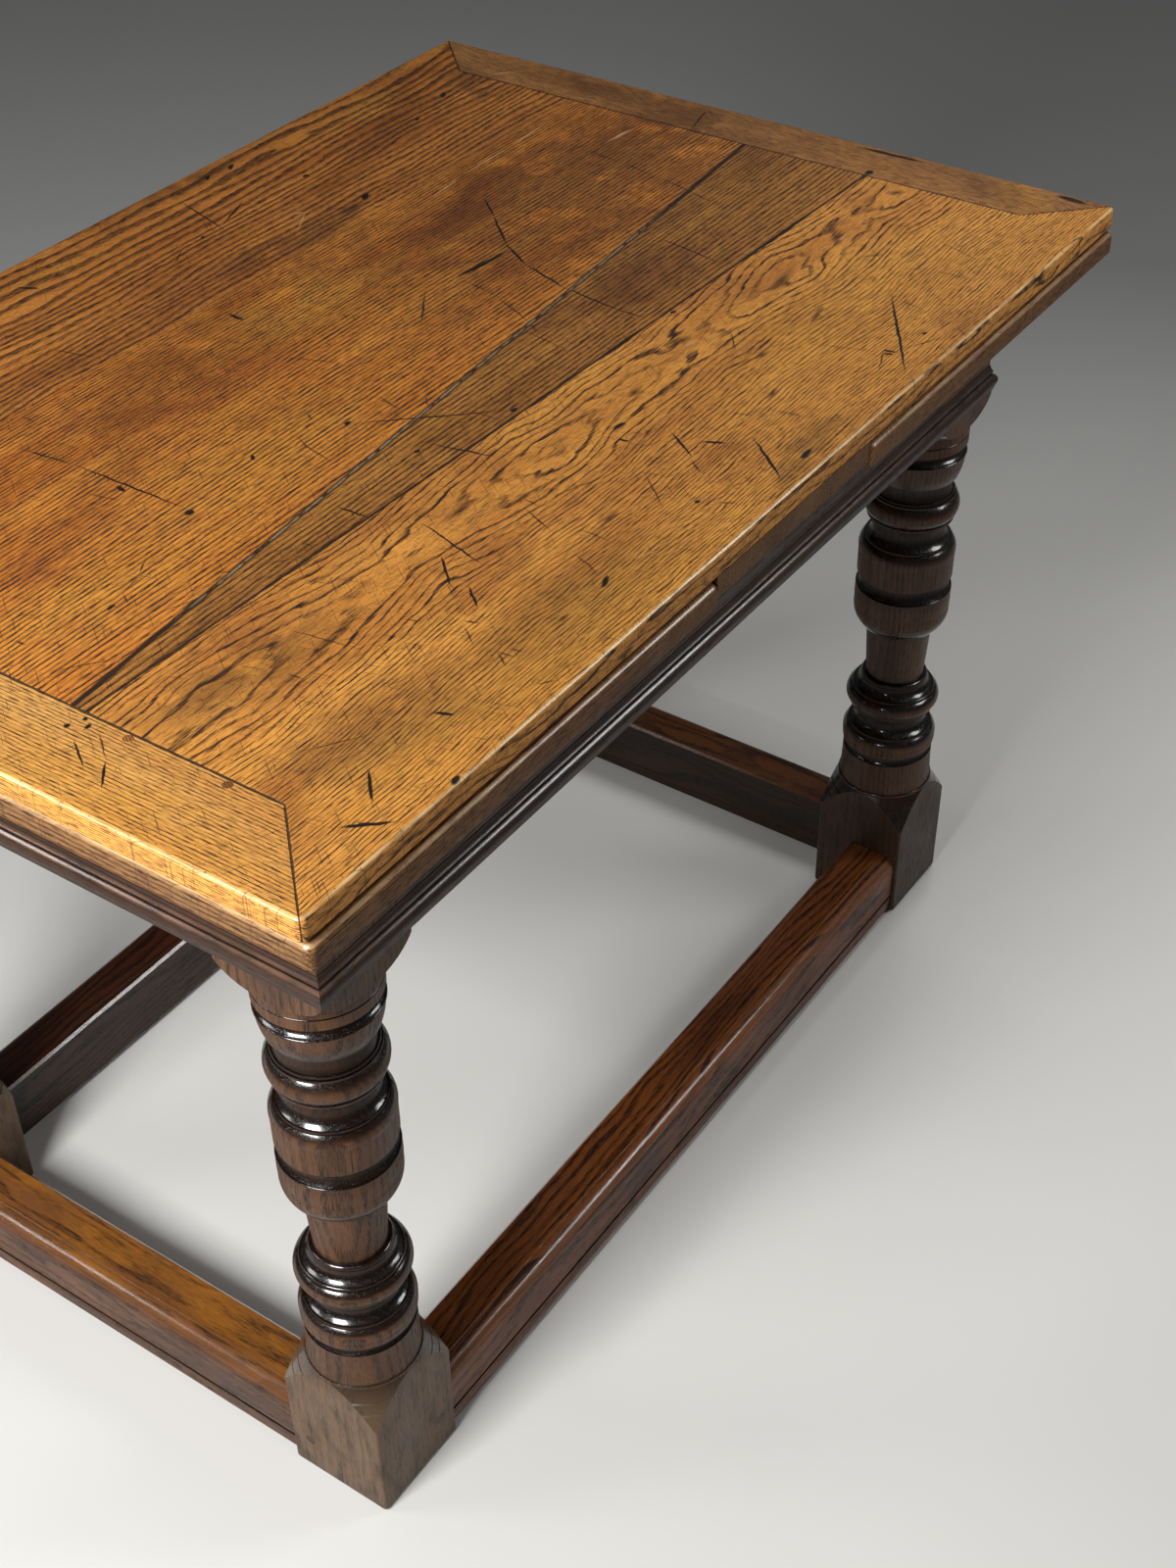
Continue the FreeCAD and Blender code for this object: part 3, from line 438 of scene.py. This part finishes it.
def addTopJoints(oak):
    tree = oak["tree"]
    parts = addNode(tree, "SeparateXYZ", [oak["place"]])
    ragPlace = addNode(tree, "VectorMath", [oak["place"], topJoints["ragSize"]], operation="DIVIDE")
    rag = addNode(tree, "TexNoise", {"Vector": ragPlace, "Scale": 1, "Detail": 4})
    ragged = addNode(tree, "Math", [rag, *topJoints["rag"]], operation="MULTIPLY_ADD")
    pastWest = addNode(tree, "Math", [(parts, "X"), table["westClampX"]], operation="GREATER_THAN")
    pastEast = addNode(tree, "Math", [(parts, "X"), table["eastClampX"]], operation="LESS_THAN")
    inField = addNode(tree, "Math", [pastWest, pastEast], operation="MULTIPLY")
    found = []
    for name in ("front", "wedge", "back"):
        x0, y0, x1, y1 = topJoints[name]["line"]
        slope = (y1 - y0) / (x1 - x0)
        onLine = addNode(tree, "Math", [(parts, "X"), slope, y0 - x0 * slope], operation="MULTIPLY_ADD")
        offset = addNode(tree, "Math", [(parts, "Y"), onLine], operation="SUBTRACT")
        offset = addNode(tree, "Math", [offset], operation="ABSOLUTE")
        off = addNode(tree, "Math", [offset, ragged], operation="ADD")
        inner, outer = [part * topJoints[name]["half"] for part in topJoints["fade"]]
        joint = addNode(tree, "MapRange", [off, inner, outer, topJoints[name]["strength"], 0])
        found.append(addNode(tree, "Math", [joint, inField], operation="MULTIPLY"))
        if name == "wedge":
            core = addNode(tree, "MapRange", [off, *topJoints["core"], 1, 0])
            west0, west1, east0, east1 = topJoints["filled"]
            fromWest = addNode(tree, "MapRange", [(parts, "X"), west0, west1])
            fromEast = addNode(tree, "MapRange", [(parts, "X"), east0, east1, 1, 0])
            core = addNode(tree, "Math", [core, fromWest], operation="MULTIPLY")
            core = addNode(tree, "Math", [core, fromEast], operation="MULTIPLY")
            chipped = addNode(tree, "MapRange", [rag, *topJoints["chips"]])
            core = addNode(tree, "Math", [core, chipped], operation="MULTIPLY")
    # a clamp's line runs straight across, then slants out along the mitre to the corner
    sideY = addNode(tree, "Math", [(parts, "Y")], operation="ABSOLUTE")
    inner, outer = [part * topJoints["clampHalf"] for part in topJoints["clampFade"]]
    for clampX, sign in ((table["westClampX"], -1), (table["eastClampX"], 1)):
        innerY = table["halfWidth"] - abs(sign * table["halfLength"] - clampX)
        past = addNode(tree, "Math", [(parts, "X"), sign, -abs(clampX)], operation="MULTIPLY_ADD")
        shoulder = addNode(tree, "Math", [past], operation="ABSOLUTE")
        beyond = addNode(tree, "Math", [sideY, innerY], operation="GREATER_THAN")
        shoulder = addNode(tree, "Math", [beyond, topJoints["farOff"], shoulder], operation="MULTIPLY_ADD")
        mitre = addNode(tree, "Math", [sideY, innerY], operation="SUBTRACT")
        mitre = addNode(tree, "Math", [mitre, past], operation="SUBTRACT")
        mitre = addNode(tree, "Math", [mitre], operation="ABSOLUTE")
        within = addNode(tree, "Math", [past, 0], operation="LESS_THAN")
        mitre = addNode(tree, "Math", [within, topJoints["farOff"], mitre], operation="MULTIPLY_ADD")
        off = addNode(tree, "Math", [shoulder, mitre], operation="MINIMUM")
        off = addNode(tree, "Math", [off, ragged], operation="ADD")
        found.append(addNode(tree, "MapRange", [off, inner, outer, topJoints["clampStrength"], 0]))
    joints = found[0]
    for joint in found[1:]:
        joints = addNode(tree, "Math", [joints, joint], operation="MAXIMUM")
    lay(oak, joints, topJoints["dirt"], topJoints["dirtStrength"], topJoints["cut"])
    lay(oak, core, topJoints["filling"], topJoints["fillingStrength"])


# the edge is rubbed bright by hands and sleeves, so it is paler and more golden than the field
def addRim(oak, hexColour, reach, strength):
    tree = oak["tree"]
    parts = addNode(tree, "SeparateXYZ", [oak["place"]])
    sideX = addNode(tree, "Math", [(parts, "X")], operation="ABSOLUTE")
    sideY = addNode(tree, "Math", [(parts, "Y")], operation="ABSOLUTE")
    fromEnd = addNode(tree, "Math", [table["halfLength"], sideX], operation="SUBTRACT")
    fromSide = addNode(tree, "Math", [table["halfWidth"], sideY], operation="SUBTRACT")
    inset = addNode(tree, "Math", [fromEnd, fromSide], operation="MINIMUM")
    rim = addNode(tree, "MapRange", [inset, 0, reach, 1, 0], interpolation_type="SMOOTHSTEP")
    lay(oak, rim, hexColour, strength)


# the rounded arris is painted pale here and there, partly wood rubbed through and partly a painted highlight,
# and it is polished all along
arrisWearAndHighlight = {
    "under": (0.45, 0.66),  # how far up the surface faces where the arris starts and ends
    "over": (0.8, 0.93),
    "rubAndGlintSize": (38, 38, 38),
    "rubAndGlint": (0.36, 0.56, 0.15, 1),
}


def addArris(oak, hexColour, strength):
    tree = oak["tree"]
    facing = addNode(tree, "SeparateXYZ", [(oak["spot"], "Normal")])
    under = addNode(tree, "MapRange", [(facing, "Z"), *arrisWearAndHighlight["under"]])
    over = addNode(tree, "MapRange", [(facing, "Z"), *arrisWearAndHighlight["over"], 1, 0])
    arris = addNode(tree, "Math", [under, over], operation="MULTIPLY")
    rubPlace = addNode(tree, "VectorMath", [oak["place"], arrisWearAndHighlight["rubAndGlintSize"]], operation="DIVIDE")
    rubAndGlint = addNode(tree, "TexNoise", {"Vector": rubPlace, "Scale": 1, "Detail": 4})
    rubAndGlint = addNode(tree, "MapRange", [rubAndGlint, *arrisWearAndHighlight["rubAndGlint"]])
    lay(oak, addNode(tree, "Math", [arris, rubAndGlint], operation="MULTIPLY"), hexColour, strength)
    oak["polish"] = arris


# wax and dust gather in the hollows of a turning or a moulding and go black; the mask is ambient occlusion, so
# this black is also painted shade where shade falls in the hollows
hollowDirtAndShade = {"samples": 6, "open": (0.5, 0.93)}


def addGrimeAndShade(oak, reach, hexColour, strength):
    tree = oak["tree"]
    hollow = addNode(tree, "AmbientOcclusion", {"Distance": reach}, samples=hollowDirtAndShade["samples"],
                     only_local=True)
    grimeAndShade = addNode(tree, "MapRange", [(hollow, "AO"), *hollowDirtAndShade["open"], 1, 0])
    lay(oak, grimeAndShade, hexColour, strength)


# the sides of the boards have a tone of their own, and their pores are full of dirt; on the top boards the tone
# given is lighter than the wood, as painted light on the front faces that the lamps hardly reach
sideToneAndPits = {
    "upright": (0.25, 0.7),
    "pitSize": (9, 2.4, 2.4),
    "pits": (0.52, 0.66),
    "pitColour": "#2c170a",
    "pitStrength": 0.5,
    "pitCut": 0.15,
}


def addSides(oak, hexColour, strength):
    tree = oak["tree"]
    facing = addNode(tree, "SeparateXYZ", [(oak["spot"], "Normal")])
    upright = addNode(tree, "Math", [(facing, "Z")], operation="ABSOLUTE")
    side = addNode(tree, "MapRange", [upright, *sideToneAndPits["upright"], 1, 0])
    pitPlace = addNode(tree, "VectorMath", [oak["grown"], sideToneAndPits["pitSize"]], operation="DIVIDE")
    pits = addNode(tree, "TexNoise", {"Vector": pitPlace, "Scale": 1, "Detail": 3})
    pits = addNode(tree, "MapRange", [pits, *sideToneAndPits["pits"]])
    lay(oak, side, hexColour, strength)
    lay(oak, addNode(tree, "Math", [side, pits], operation="MULTIPLY"), sideToneAndPits["pitColour"],
        sideToneAndPits["pitStrength"], sideToneAndPits["pitCut"])


# straight grained oak, planed by hand and waxed for centuries: golden brown, fine dark lines along the board
topLook = {
    "name": "straight grained oak, waxed",
    "grain": "X",
    "shift": (0, 0, 0),
    "heart": (-900, -760),
    "heartDips": None,
    "ring": 2.3,
    "lineWidth": 0.44,
    "poorYear": 0.6,
    "wander": 7,
    "wanderSize": (420, 60, 60),
    "rag": 1,
    "pore": (10, 0.9, 0.9),
    "driftSize": (230, 34, 34),
    "light": "#d68a33",
    "warm": "#bb6d24",
    "stain": "#944f19",
    "line": "#40200a",
    "lineStrength": 0.95,
    "poreColour": "#2a1407",
    "poreStrength": 0.9,
    "wave": 0.15,
    "waveSize": (90, 45, 45),
    "rough": (0.6, 0.76),
    "waxRough": 0.2,
    "ior": 1.4,
    "rim": ("#d3943c", 60, 0.35),
}
topBoards = {
    "top_middle_board": topLook,
    "top_wedge_board": dict(
        topLook, name="straight grained oak, waxed, wedge", shift=(310, 40, 0),
        light="#b47a33", warm="#976125", stain="#734518"),
    # a wilder, browner board with wide wavy rings
    "top_back_board": dict(
        topLook, name="coarse brown oak, waxed", shift=(900, 0, 50), heart=(420, 560), ring=5.2,
        lineWidth=0.5, wander=22, wanderSize=(260, 60, 60), rag=2.2,
        light="#cb8336", warm="#ad6827", stain="#874d19", rim=("#b47a34", 40, 0.3)),
    # the heart lies under the middle of this board, so its rings are cut wide there, in long wavy arches
    "top_front_board": dict(
        topLook, name="arched oak, waxed", shift=(0, 500, 0), heart=(-196, 705), ring=2.9,
        heartDips=((-600, 10), (-430, 4), (-250, 13), (-60, 5), (120, 13), (300, 3), (420, 10), (600, 2)),
        lineWidth=0.27, wander=12, wanderSize=(120, 34, 34), rag=1.4, line="#2e1506", lineStrength=1,
        light="#d8953f", warm="#be7b32", stain="#a06028"),
    "top_west_clamp": dict(
        topLook, name="cross grained oak clamp, waxed", grain="Y", shift=(50, 0, 300), heart=(900, 200),
        ring=1.7, lineWidth=0.38, poorYear=0.62, lineStrength=0.8, wander=4, rag=0.8,
        light="#dca65a", warm="#c6863d", stain="#a97031"),
    "top_east_clamp": dict(
        topLook, name="cross grained oak clamp, waxed, dull", grain="Y", shift=(450, 0, 0), heart=(900, 200),
        ring=1.7, poorYear=0.8, rag=0.8, light="#ba834a", warm="#9f6b37", stain="#805327",
        rim=("#a8763a", 40, 0.3)),
}
# golden sides, lightened as painted light; pale edges, partly rubbed wear and partly a painted highlight; and
# as many fine scratches as a dining table gets
topFinishAndLight = {"sides": ("#e29b46", 0.75), "arris": ("#f0cf94", 0.75), "scratches": 0.5}
for name, look in topBoards.items():
    oak = startOak(look)
    addRim(oak, *look["rim"])
    addSides(oak, *topFinishAndLight["sides"])
    addPatches(oak, name)
    addFigure(oak)
    addArris(oak, *topFinishAndLight["arris"])
    addScratches(oak, topFinishAndLight["scratches"])
    addWear(oak, name)
    addTopJoints(oak)
    dress(closeOak(oak), name)
print("top boards dressed")

# the leaves are of the same oak, rubbed by sliding, and painted darker than the top as painted shade, for where
# they stand in the shade of the top
leafLook = dict(topLook, name="oak leaf board, rubbed", heart=(-500, 300), light="#a5723a", warm="#8a5527",
                stain="#6a3d1b", rough=(0.54, 0.7))
leafClampLook = dict(leafLook, name="oak leaf clamp, rubbed", grain="Y", heart=(300, 900), light="#a37640",
                     warm="#8a5c2d", stain="#68411f")
# browner sides than the top's, and a duller pale edge, partly rubbed wear and partly a painted highlight
leafFinishAndLight = {"sides": ("#6a4a2a", 0.6), "arris": ("#e0bf8c", 0.42), "scratches": 0.4}
leafBoards = startOak(leafLook)
leafClamps = startOak(leafClampLook)
for oak in (leafBoards, leafClamps):
    addSides(oak, *leafFinishAndLight["sides"])
    addFigure(oak)
    addArris(oak, *leafFinishAndLight["arris"])
    addScratches(oak, leafFinishAndLight["scratches"])
leafBoardOak = closeOak(leafBoards)
leafClampOak = closeOak(leafClamps)
for side in ("east", "west"):
    dress(leafBoardOak, *[side + "_leaf_" + board for board in ("front_board", "middle_board", "back_board")])
    dress(leafClampOak, *[side + "_leaf_" + clamp for clamp in ("outer_clamp", "inner_clamp")])
dress(leafClampOak, "centre_board")
print("leaves dressed")

# old dark oak of the frame: brown black, dull in the pores, with a thin polish
darkLook = dict(topLook, name="old dark oak frieze", heart=(400, 200), ring=4, light="#4c3120", warm="#3a2314",
                stain="#27160b", line="#140a05", poreColour="#0a0503", rough=(0.36, 0.52), ior=1.42, wave=0.25,
                driftSize=(160, 40, 40))
friezeAlong = startOak(darkLook)
friezeAcross = startOak(dict(darkLook, name="old dark oak frieze, end rails", grain="Y"))
for oak in (friezeAlong, friezeAcross):
    addFigure(oak)
friezeAlongOak = closeOak(friezeAlong)
friezeAcrossOak = closeOak(friezeAcross)
dress(friezeAlongOak, "front_frieze_rail", "back_frieze_rail")
dress(friezeAcrossOak, "west_frieze_rail", "east_frieze_rail")
for side in ("east", "west"):
    dress(friezeAlongOak, side + "_leaf_front_runner", side + "_leaf_back_runner")

# run moulding: darker than the rails, black in its hollows from dirt and painted shade, with a glossy edge
# painted paler as a painted highlight
mouldingLook = dict(darkLook, name="oak moulding, polished", light="#402717", warm="#2f1b0e", stain="#1c1008",
                    rough=(0.4, 0.52), ior=1.4)
mouldingFinishAndLight = {"grimeAndShade": (0.009, "#0b0604", 0.9), "arris": ("#8c6142", 0.3)}
mouldingAlong = startOak(mouldingLook)
mouldingAcross = startOak(dict(mouldingLook, name="oak moulding, polished, ends", grain="Y"))
for oak in (mouldingAlong, mouldingAcross):
    addFigure(oak)
    addGrimeAndShade(oak, *mouldingFinishAndLight["grimeAndShade"])
    addArris(oak, *mouldingFinishAndLight["arris"])
dress(closeOak(mouldingAlong), "front_frieze_moulding", "back_frieze_moulding")
dress(closeOak(mouldingAcross), "west_frieze_moulding", "east_frieze_moulding")

# turned legs: black and glossy on the shoulders, black in the hollows from dirt and painted shade, brown and
# drier on the walls
legLook = dict(darkLook, name="turned oak, old polish", grain="Z", heart=(40, 30), ring=4.5, light="#5d3b20",
               warm="#472a14", stain="#2e1a0b", line="#150b05", lineStrength=0.6, poreStrength=0.7,
               rough=(0.36, 0.5), ior=1.36, waxRough=0.14, waveSize=(60, 30, 30), driftSize=(90, 12, 12))
# the near feet are rubbed paler; the far feet are painted darker as painted shade, for where they stand in the
# shade
legLooks = {
    "west": dict(legLook, foot="#7f6951", footStrength=0.38),
    "east": dict(legLook, name="turned oak, old polish, shaded end", foot="#1d130c", footStrength=0.6),
}
# each layer of polish, wear, dirt and painted shade is a colour, a strength and, where it is cut in, a depth in
# millimetres
legWearAndShade = {
    "shoulderTilt": (0.2, 0.6),
    "shoulder": ("#0f0805", 0.9),
    "wallTilt": (0.02, 0.14),
    "dry": (0.4, 0.62),
    "dryWall": ("#6b4528", 0.2),
    "crackSize": (4, 4, 70),
    "cracks": (0.69, 0.73),
    "crack": ("#0d0705", 0.9, 0.4),
    "hollow": (41, 48),
    "neck": (283, 344),
    "hollowDirtAndShade": ("#0c0604", 0.7),
    "grimeAndShade": (0.024, "#0a0503", 0.95),
    "scuffZ": (2, 26),
    "scuff": ("#1c120b", 1.2),
    "footZ": (128, 158),
    "bruiseSize": (13, 13, 40),
    "bruises": (0.48, 0.74),
    "bruise": ("#1d120a", 0.75, 0.5),
}
for side, look in legLooks.items():
    legs = startOak(look)
    addFigure(legs)
    tree = legs["tree"]
    parts = addNode(tree, "SeparateXYZ", [legs["place"]])
    facing = addNode(tree, "SeparateXYZ", [(legs["spot"], "Normal")])
    tilt = addNode(tree, "Math", [(facing, "Z")], operation="ABSOLUTE")
    shoulder = addNode(tree, "MapRange", [tilt, *legWearAndShade["shoulderTilt"]])
    lay(legs, shoulder, *legWearAndShade["shoulder"])
    legs["polish"] = shoulder
    wall = addNode(tree, "MapRange", [tilt, *legWearAndShade["wallTilt"], 1, 0])
    dry = addNode(tree, "MapRange", [legs["drift"], *legWearAndShade["dry"]])
    lay(legs, addNode(tree, "Math", [wall, dry], operation="MULTIPLY"), *legWearAndShade["dryWall"])
    # upright drying cracks in the walls
    crackPlace = addNode(tree, "VectorMath", [legs["place"], legWearAndShade["crackSize"]], operation="DIVIDE")
    crackNoise = addNode(tree, "TexNoise", {"Vector": crackPlace, "Scale": 1, "Detail": 2})
    cracks = addNode(tree, "MapRange", [crackNoise, *legWearAndShade["cracks"]])
    lay(legs, addNode(tree, "Math", [wall, cracks], operation="MULTIPLY"), *legWearAndShade["crack"])
    # how far the wood is from the middle line of its leg, for the thin parts of the turning, which are darkened
    # as dirt and painted shade
    acrossX = addNode(tree, "Math", [(parts, "X")], operation="ABSOLUTE")
    acrossX = addNode(tree, "Math", [acrossX, table["legX"]], operation="SUBTRACT")
    acrossY = addNode(tree, "Math", [(parts, "Y"), table["frameY"]], operation="SUBTRACT")
    acrossY = addNode(tree, "Math", [acrossY], operation="ABSOLUTE")
    acrossY = addNode(tree, "Math", [acrossY, table["legY"]], operation="SUBTRACT")
    fromMiddle = addNode(tree, "CombineXYZ", {"X": acrossX, "Y": acrossY})
    radius = addNode(tree, "VectorMath", [fromMiddle], operation="LENGTH")
    hollow = addNode(tree, "MapRange", [(radius, "Value"), *legWearAndShade["hollow"], 1, 0])
    overNeck = addNode(tree, "Math", [(parts, "Z"), legWearAndShade["neck"][1]], operation="GREATER_THAN")
    underNeck = addNode(tree, "Math", [(parts, "Z"), legWearAndShade["neck"][0]], operation="LESS_THAN")
    offNeck = addNode(tree, "Math", [overNeck, underNeck], operation="ADD")
    lay(legs, addNode(tree, "Math", [hollow, offNeck], operation="MULTIPLY"), *legWearAndShade["hollowDirtAndShade"])
    addGrimeAndShade(legs, *legWearAndShade["grimeAndShade"])
    # the feet are scuffed dark at the floor and bruised all over
    scuff = addNode(tree, "MapRange", [(parts, "Z"), *legWearAndShade["scuffZ"], 1, 0])
    lay(legs, addNode(tree, "Math", [scuff, legs["drift"]], operation="MULTIPLY"), *legWearAndShade["scuff"])
    footBlock = addNode(tree, "MapRange", [(parts, "Z"), *legWearAndShade["footZ"], 1, 0])
    lay(legs, footBlock, look["foot"], look["footStrength"])
    bruisePlace = addNode(tree, "VectorMath", [legs["place"], legWearAndShade["bruiseSize"]], operation="DIVIDE")
    bruises = addNode(tree, "TexNoise", {"Vector": bruisePlace, "Scale": 1, "Detail": 5})
    bruises = addNode(tree, "MapRange", [bruises, *legWearAndShade["bruises"]])
    lay(legs, addNode(tree, "Math", [footBlock, bruises], operation="MULTIPLY"), *legWearAndShade["bruise"])
    dress(closeOak(legs), side + "_front_leg", side + "_back_leg")
print("legs dressed")

# stretchers: tops rubbed orange by feet, edges paler and glossy where they round over, the pale partly rubbed
# wear and partly a painted highlight, brown black on the sides, and black in the grooves from dirt and painted
# shade
stretcherLook = dict(darkLook, name="oak stretcher, rubbed by feet", heart=(-225, 60), ring=7, wander=34,
                     wanderSize=(230, 36, 36), light="#7c4826", warm="#603317", stain="#401f0c", line="#170904",
                     lineStrength=0.95, rough=(0.3, 0.44), ior=1.36, waxRough=0.16, tread="#8a4c1a",
                     treadStrength=0.6, edge="#96623c")
stretcherLooks = {
    "front_stretcher": stretcherLook,
    # the back and east copies are painted darker, as painted shade for the sides of the frame away from the
    # lamps
    "back_stretcher": dict(
        stretcherLook, name="oak stretcher, shaded back", shift=(200, 100, 0), heart=(225, 60),
        tread="#4a200a", edge="#5a3722", light="#41281a", warm="#331d11", stain="#231208"),
    "west_stretcher": dict(
        stretcherLook, name="oak stretcher, rubbed west end", grain="Y", heart=(455, 40), ring=5,
        light="#6f4526", warm="#543119", stain="#311909", tread="#98601f", treadStrength=0.65, edge="#7a502e",
        lineStrength=0.6, poreStrength=0.65),
    "east_stretcher": dict(
        stretcherLook, name="oak stretcher, shaded east end", grain="Y", heart=(-455, 40), shift=(90, 0, 70),
        tread="#6b3c12", edge="#6b4526", light="#332013", warm="#27160c", stain="#1a0e08"),
}
stretcherWearAndLight = {
    "treadFacing": (0.55, 0.97),
    "rubbed": (0.4, 0.58, 0.15, 1),
    "grimeAndShade": (0.012, "#0d0704", 0.9),
    "roundUnder": (0.35, 0.6),
    "roundOver": (0.75, 0.95),
    "edgeStrength": 0.4,
}
for name, look in stretcherLooks.items():
    oak = startOak(look)
    tree = oak["tree"]
    facing = addNode(tree, "SeparateXYZ", [(oak["spot"], "Normal")])
    tread = addNode(tree, "MapRange", [(facing, "Z"), *stretcherWearAndLight["treadFacing"]])
    rubbed = addNode(tree, "MapRange", [oak["drift"], *stretcherWearAndLight["rubbed"]])
    lay(oak, addNode(tree, "Math", [tread, rubbed], operation="MULTIPLY"), look["tread"], look["treadStrength"])
    addFigure(oak)
    addGrimeAndShade(oak, *stretcherWearAndLight["grimeAndShade"])
    roundUnder = addNode(tree, "MapRange", [(facing, "Z"), *stretcherWearAndLight["roundUnder"]])
    roundOver = addNode(tree, "MapRange", [(facing, "Z"), *stretcherWearAndLight["roundOver"], 1, 0])
    oak["polish"] = addNode(tree, "Math", [roundUnder, roundOver], operation="MULTIPLY")
    lay(oak, oak["polish"], look["edge"], stretcherWearAndLight["edgeStrength"])
    dress(closeOak(oak), name)

# pegs: riven oak, so end grain shows, darker than the rail they hold
pegs = startOak(dict(darkLook, name="oak pegs, end grain", ring=2))
addFigure(pegs)
pegOak = closeOak(pegs)
dress(pegOak, "guide_pegs", "centre_board_pegs", "rail_tenon_pins", "stretcher_tenon_pins")
for side in ("east", "west"):
    dress(pegOak, *[side + "_leaf_" + peg for peg in ("clamp_pins", "runner_pegs", "stop_pegs")])
# the pins of the top are planed off flush and waxed with it, so they hardly show
topPins = startOak(dict(topLook, name="oak pins, planed flush", grain="Z", ring=2, light="#a87134",
                        warm="#915b26", stain="#6f431a"))
addFigure(topPins)
dress(closeOak(topPins), "top_clamp_pins")
print("frame dressed")

# pale painted studio floor
floorSettings = {"size": 14, "colour": "#d8d7d3", "rough": 0.55}
bpy.ops.object.select_all(action="DESELECT")
bpy.ops.mesh.primitive_plane_add(size=floorSettings["size"], location=(0, 0, 0))
floor = bpy.context.object
floor.name = "studioFloor"
floorPaint = bpy.data.materials.new("pale floor paint")
floorPaint.use_nodes = True
paintShader = floorPaint.node_tree.nodes["Principled BSDF"]
paintShader.inputs["Base Color"].default_value = linear(floorSettings["colour"])
paintShader.inputs["Roughness"].default_value = floorSettings["rough"]
floor.data.materials.append(floorPaint)

# soft studio light: a lamp to the left, weak ones behind it, in front and over the far end, and a dim room
lamps = (
    {"name": "leftLamp", "place": (-1.85, -0.2, 1.64), "aim": (0, 0, 0.6),
     "size": (0.72, 0.72), "power": 64, "spread": 180},
    {"name": "windowLamp", "place": (-1.6, 1.35, 1.6), "aim": (-0.2, 0, 0.6),
     "size": (0.6, 0.6), "power": 11, "spread": 180},
    {"name": "frontLamp", "place": (1.1, -1.5, 1.5), "aim": (0.1, -0.4, 0.3),
     "size": (0.7, 0.5), "power": 4.4, "spread": 120},
    {"name": "overheadLamp", "place": (1.1, -0.2, 1.9), "aim": (1.05, -0.6, 0),
     "size": (0.5, 0.5), "power": 3.6, "spread": 110},
)
room = {"colour": "#e8ecf0", "strength": 0.06}
for lamp in lamps:
    bpy.ops.object.light_add(type="AREA", location=lamp["place"])
    light = bpy.context.object
    light.name = lamp["name"]
    light.rotation_euler = (Vector(lamp["aim"]) - Vector(lamp["place"])).to_track_quat("-Z", "Y").to_euler()
    light.data.shape = "RECTANGLE"
    light.data.size, light.data.size_y = lamp["size"]
    light.data.energy = lamp["power"]
    light.data.spread = math.radians(lamp["spread"])
world = bpy.data.worlds.new("dimRoom")
bpy.context.scene.world = world
world.use_nodes = True
roomLight = world.node_tree.nodes["Background"]
roomLight.inputs["Color"].default_value = linear(room["colour"])
roomLight.inputs["Strength"].default_value = room["strength"]
bpy.context.scene.view_settings.view_transform = "Standard"

# the camera stands near the front west corner and looks down along the table
view = {
    "place": (-1.2118, -1.0294, 1.6082),
    "turn": (49.3975, 0.7726, -55.4777),
    "lens": 49.294,
    "sensor": 36,
    "shift": (0.00514, 0.02977),
}
bpy.ops.object.camera_add(location=view["place"], rotation=[math.radians(angle) for angle in view["turn"]])
camera = bpy.context.object
camera.data.sensor_fit = "VERTICAL"
camera.data.sensor_height = view["sensor"]
camera.data.lens = view["lens"]
camera.data.shift_x, camera.data.shift_y = view["shift"]
bpy.context.scene.camera = camera
print("camera and lamps placed")
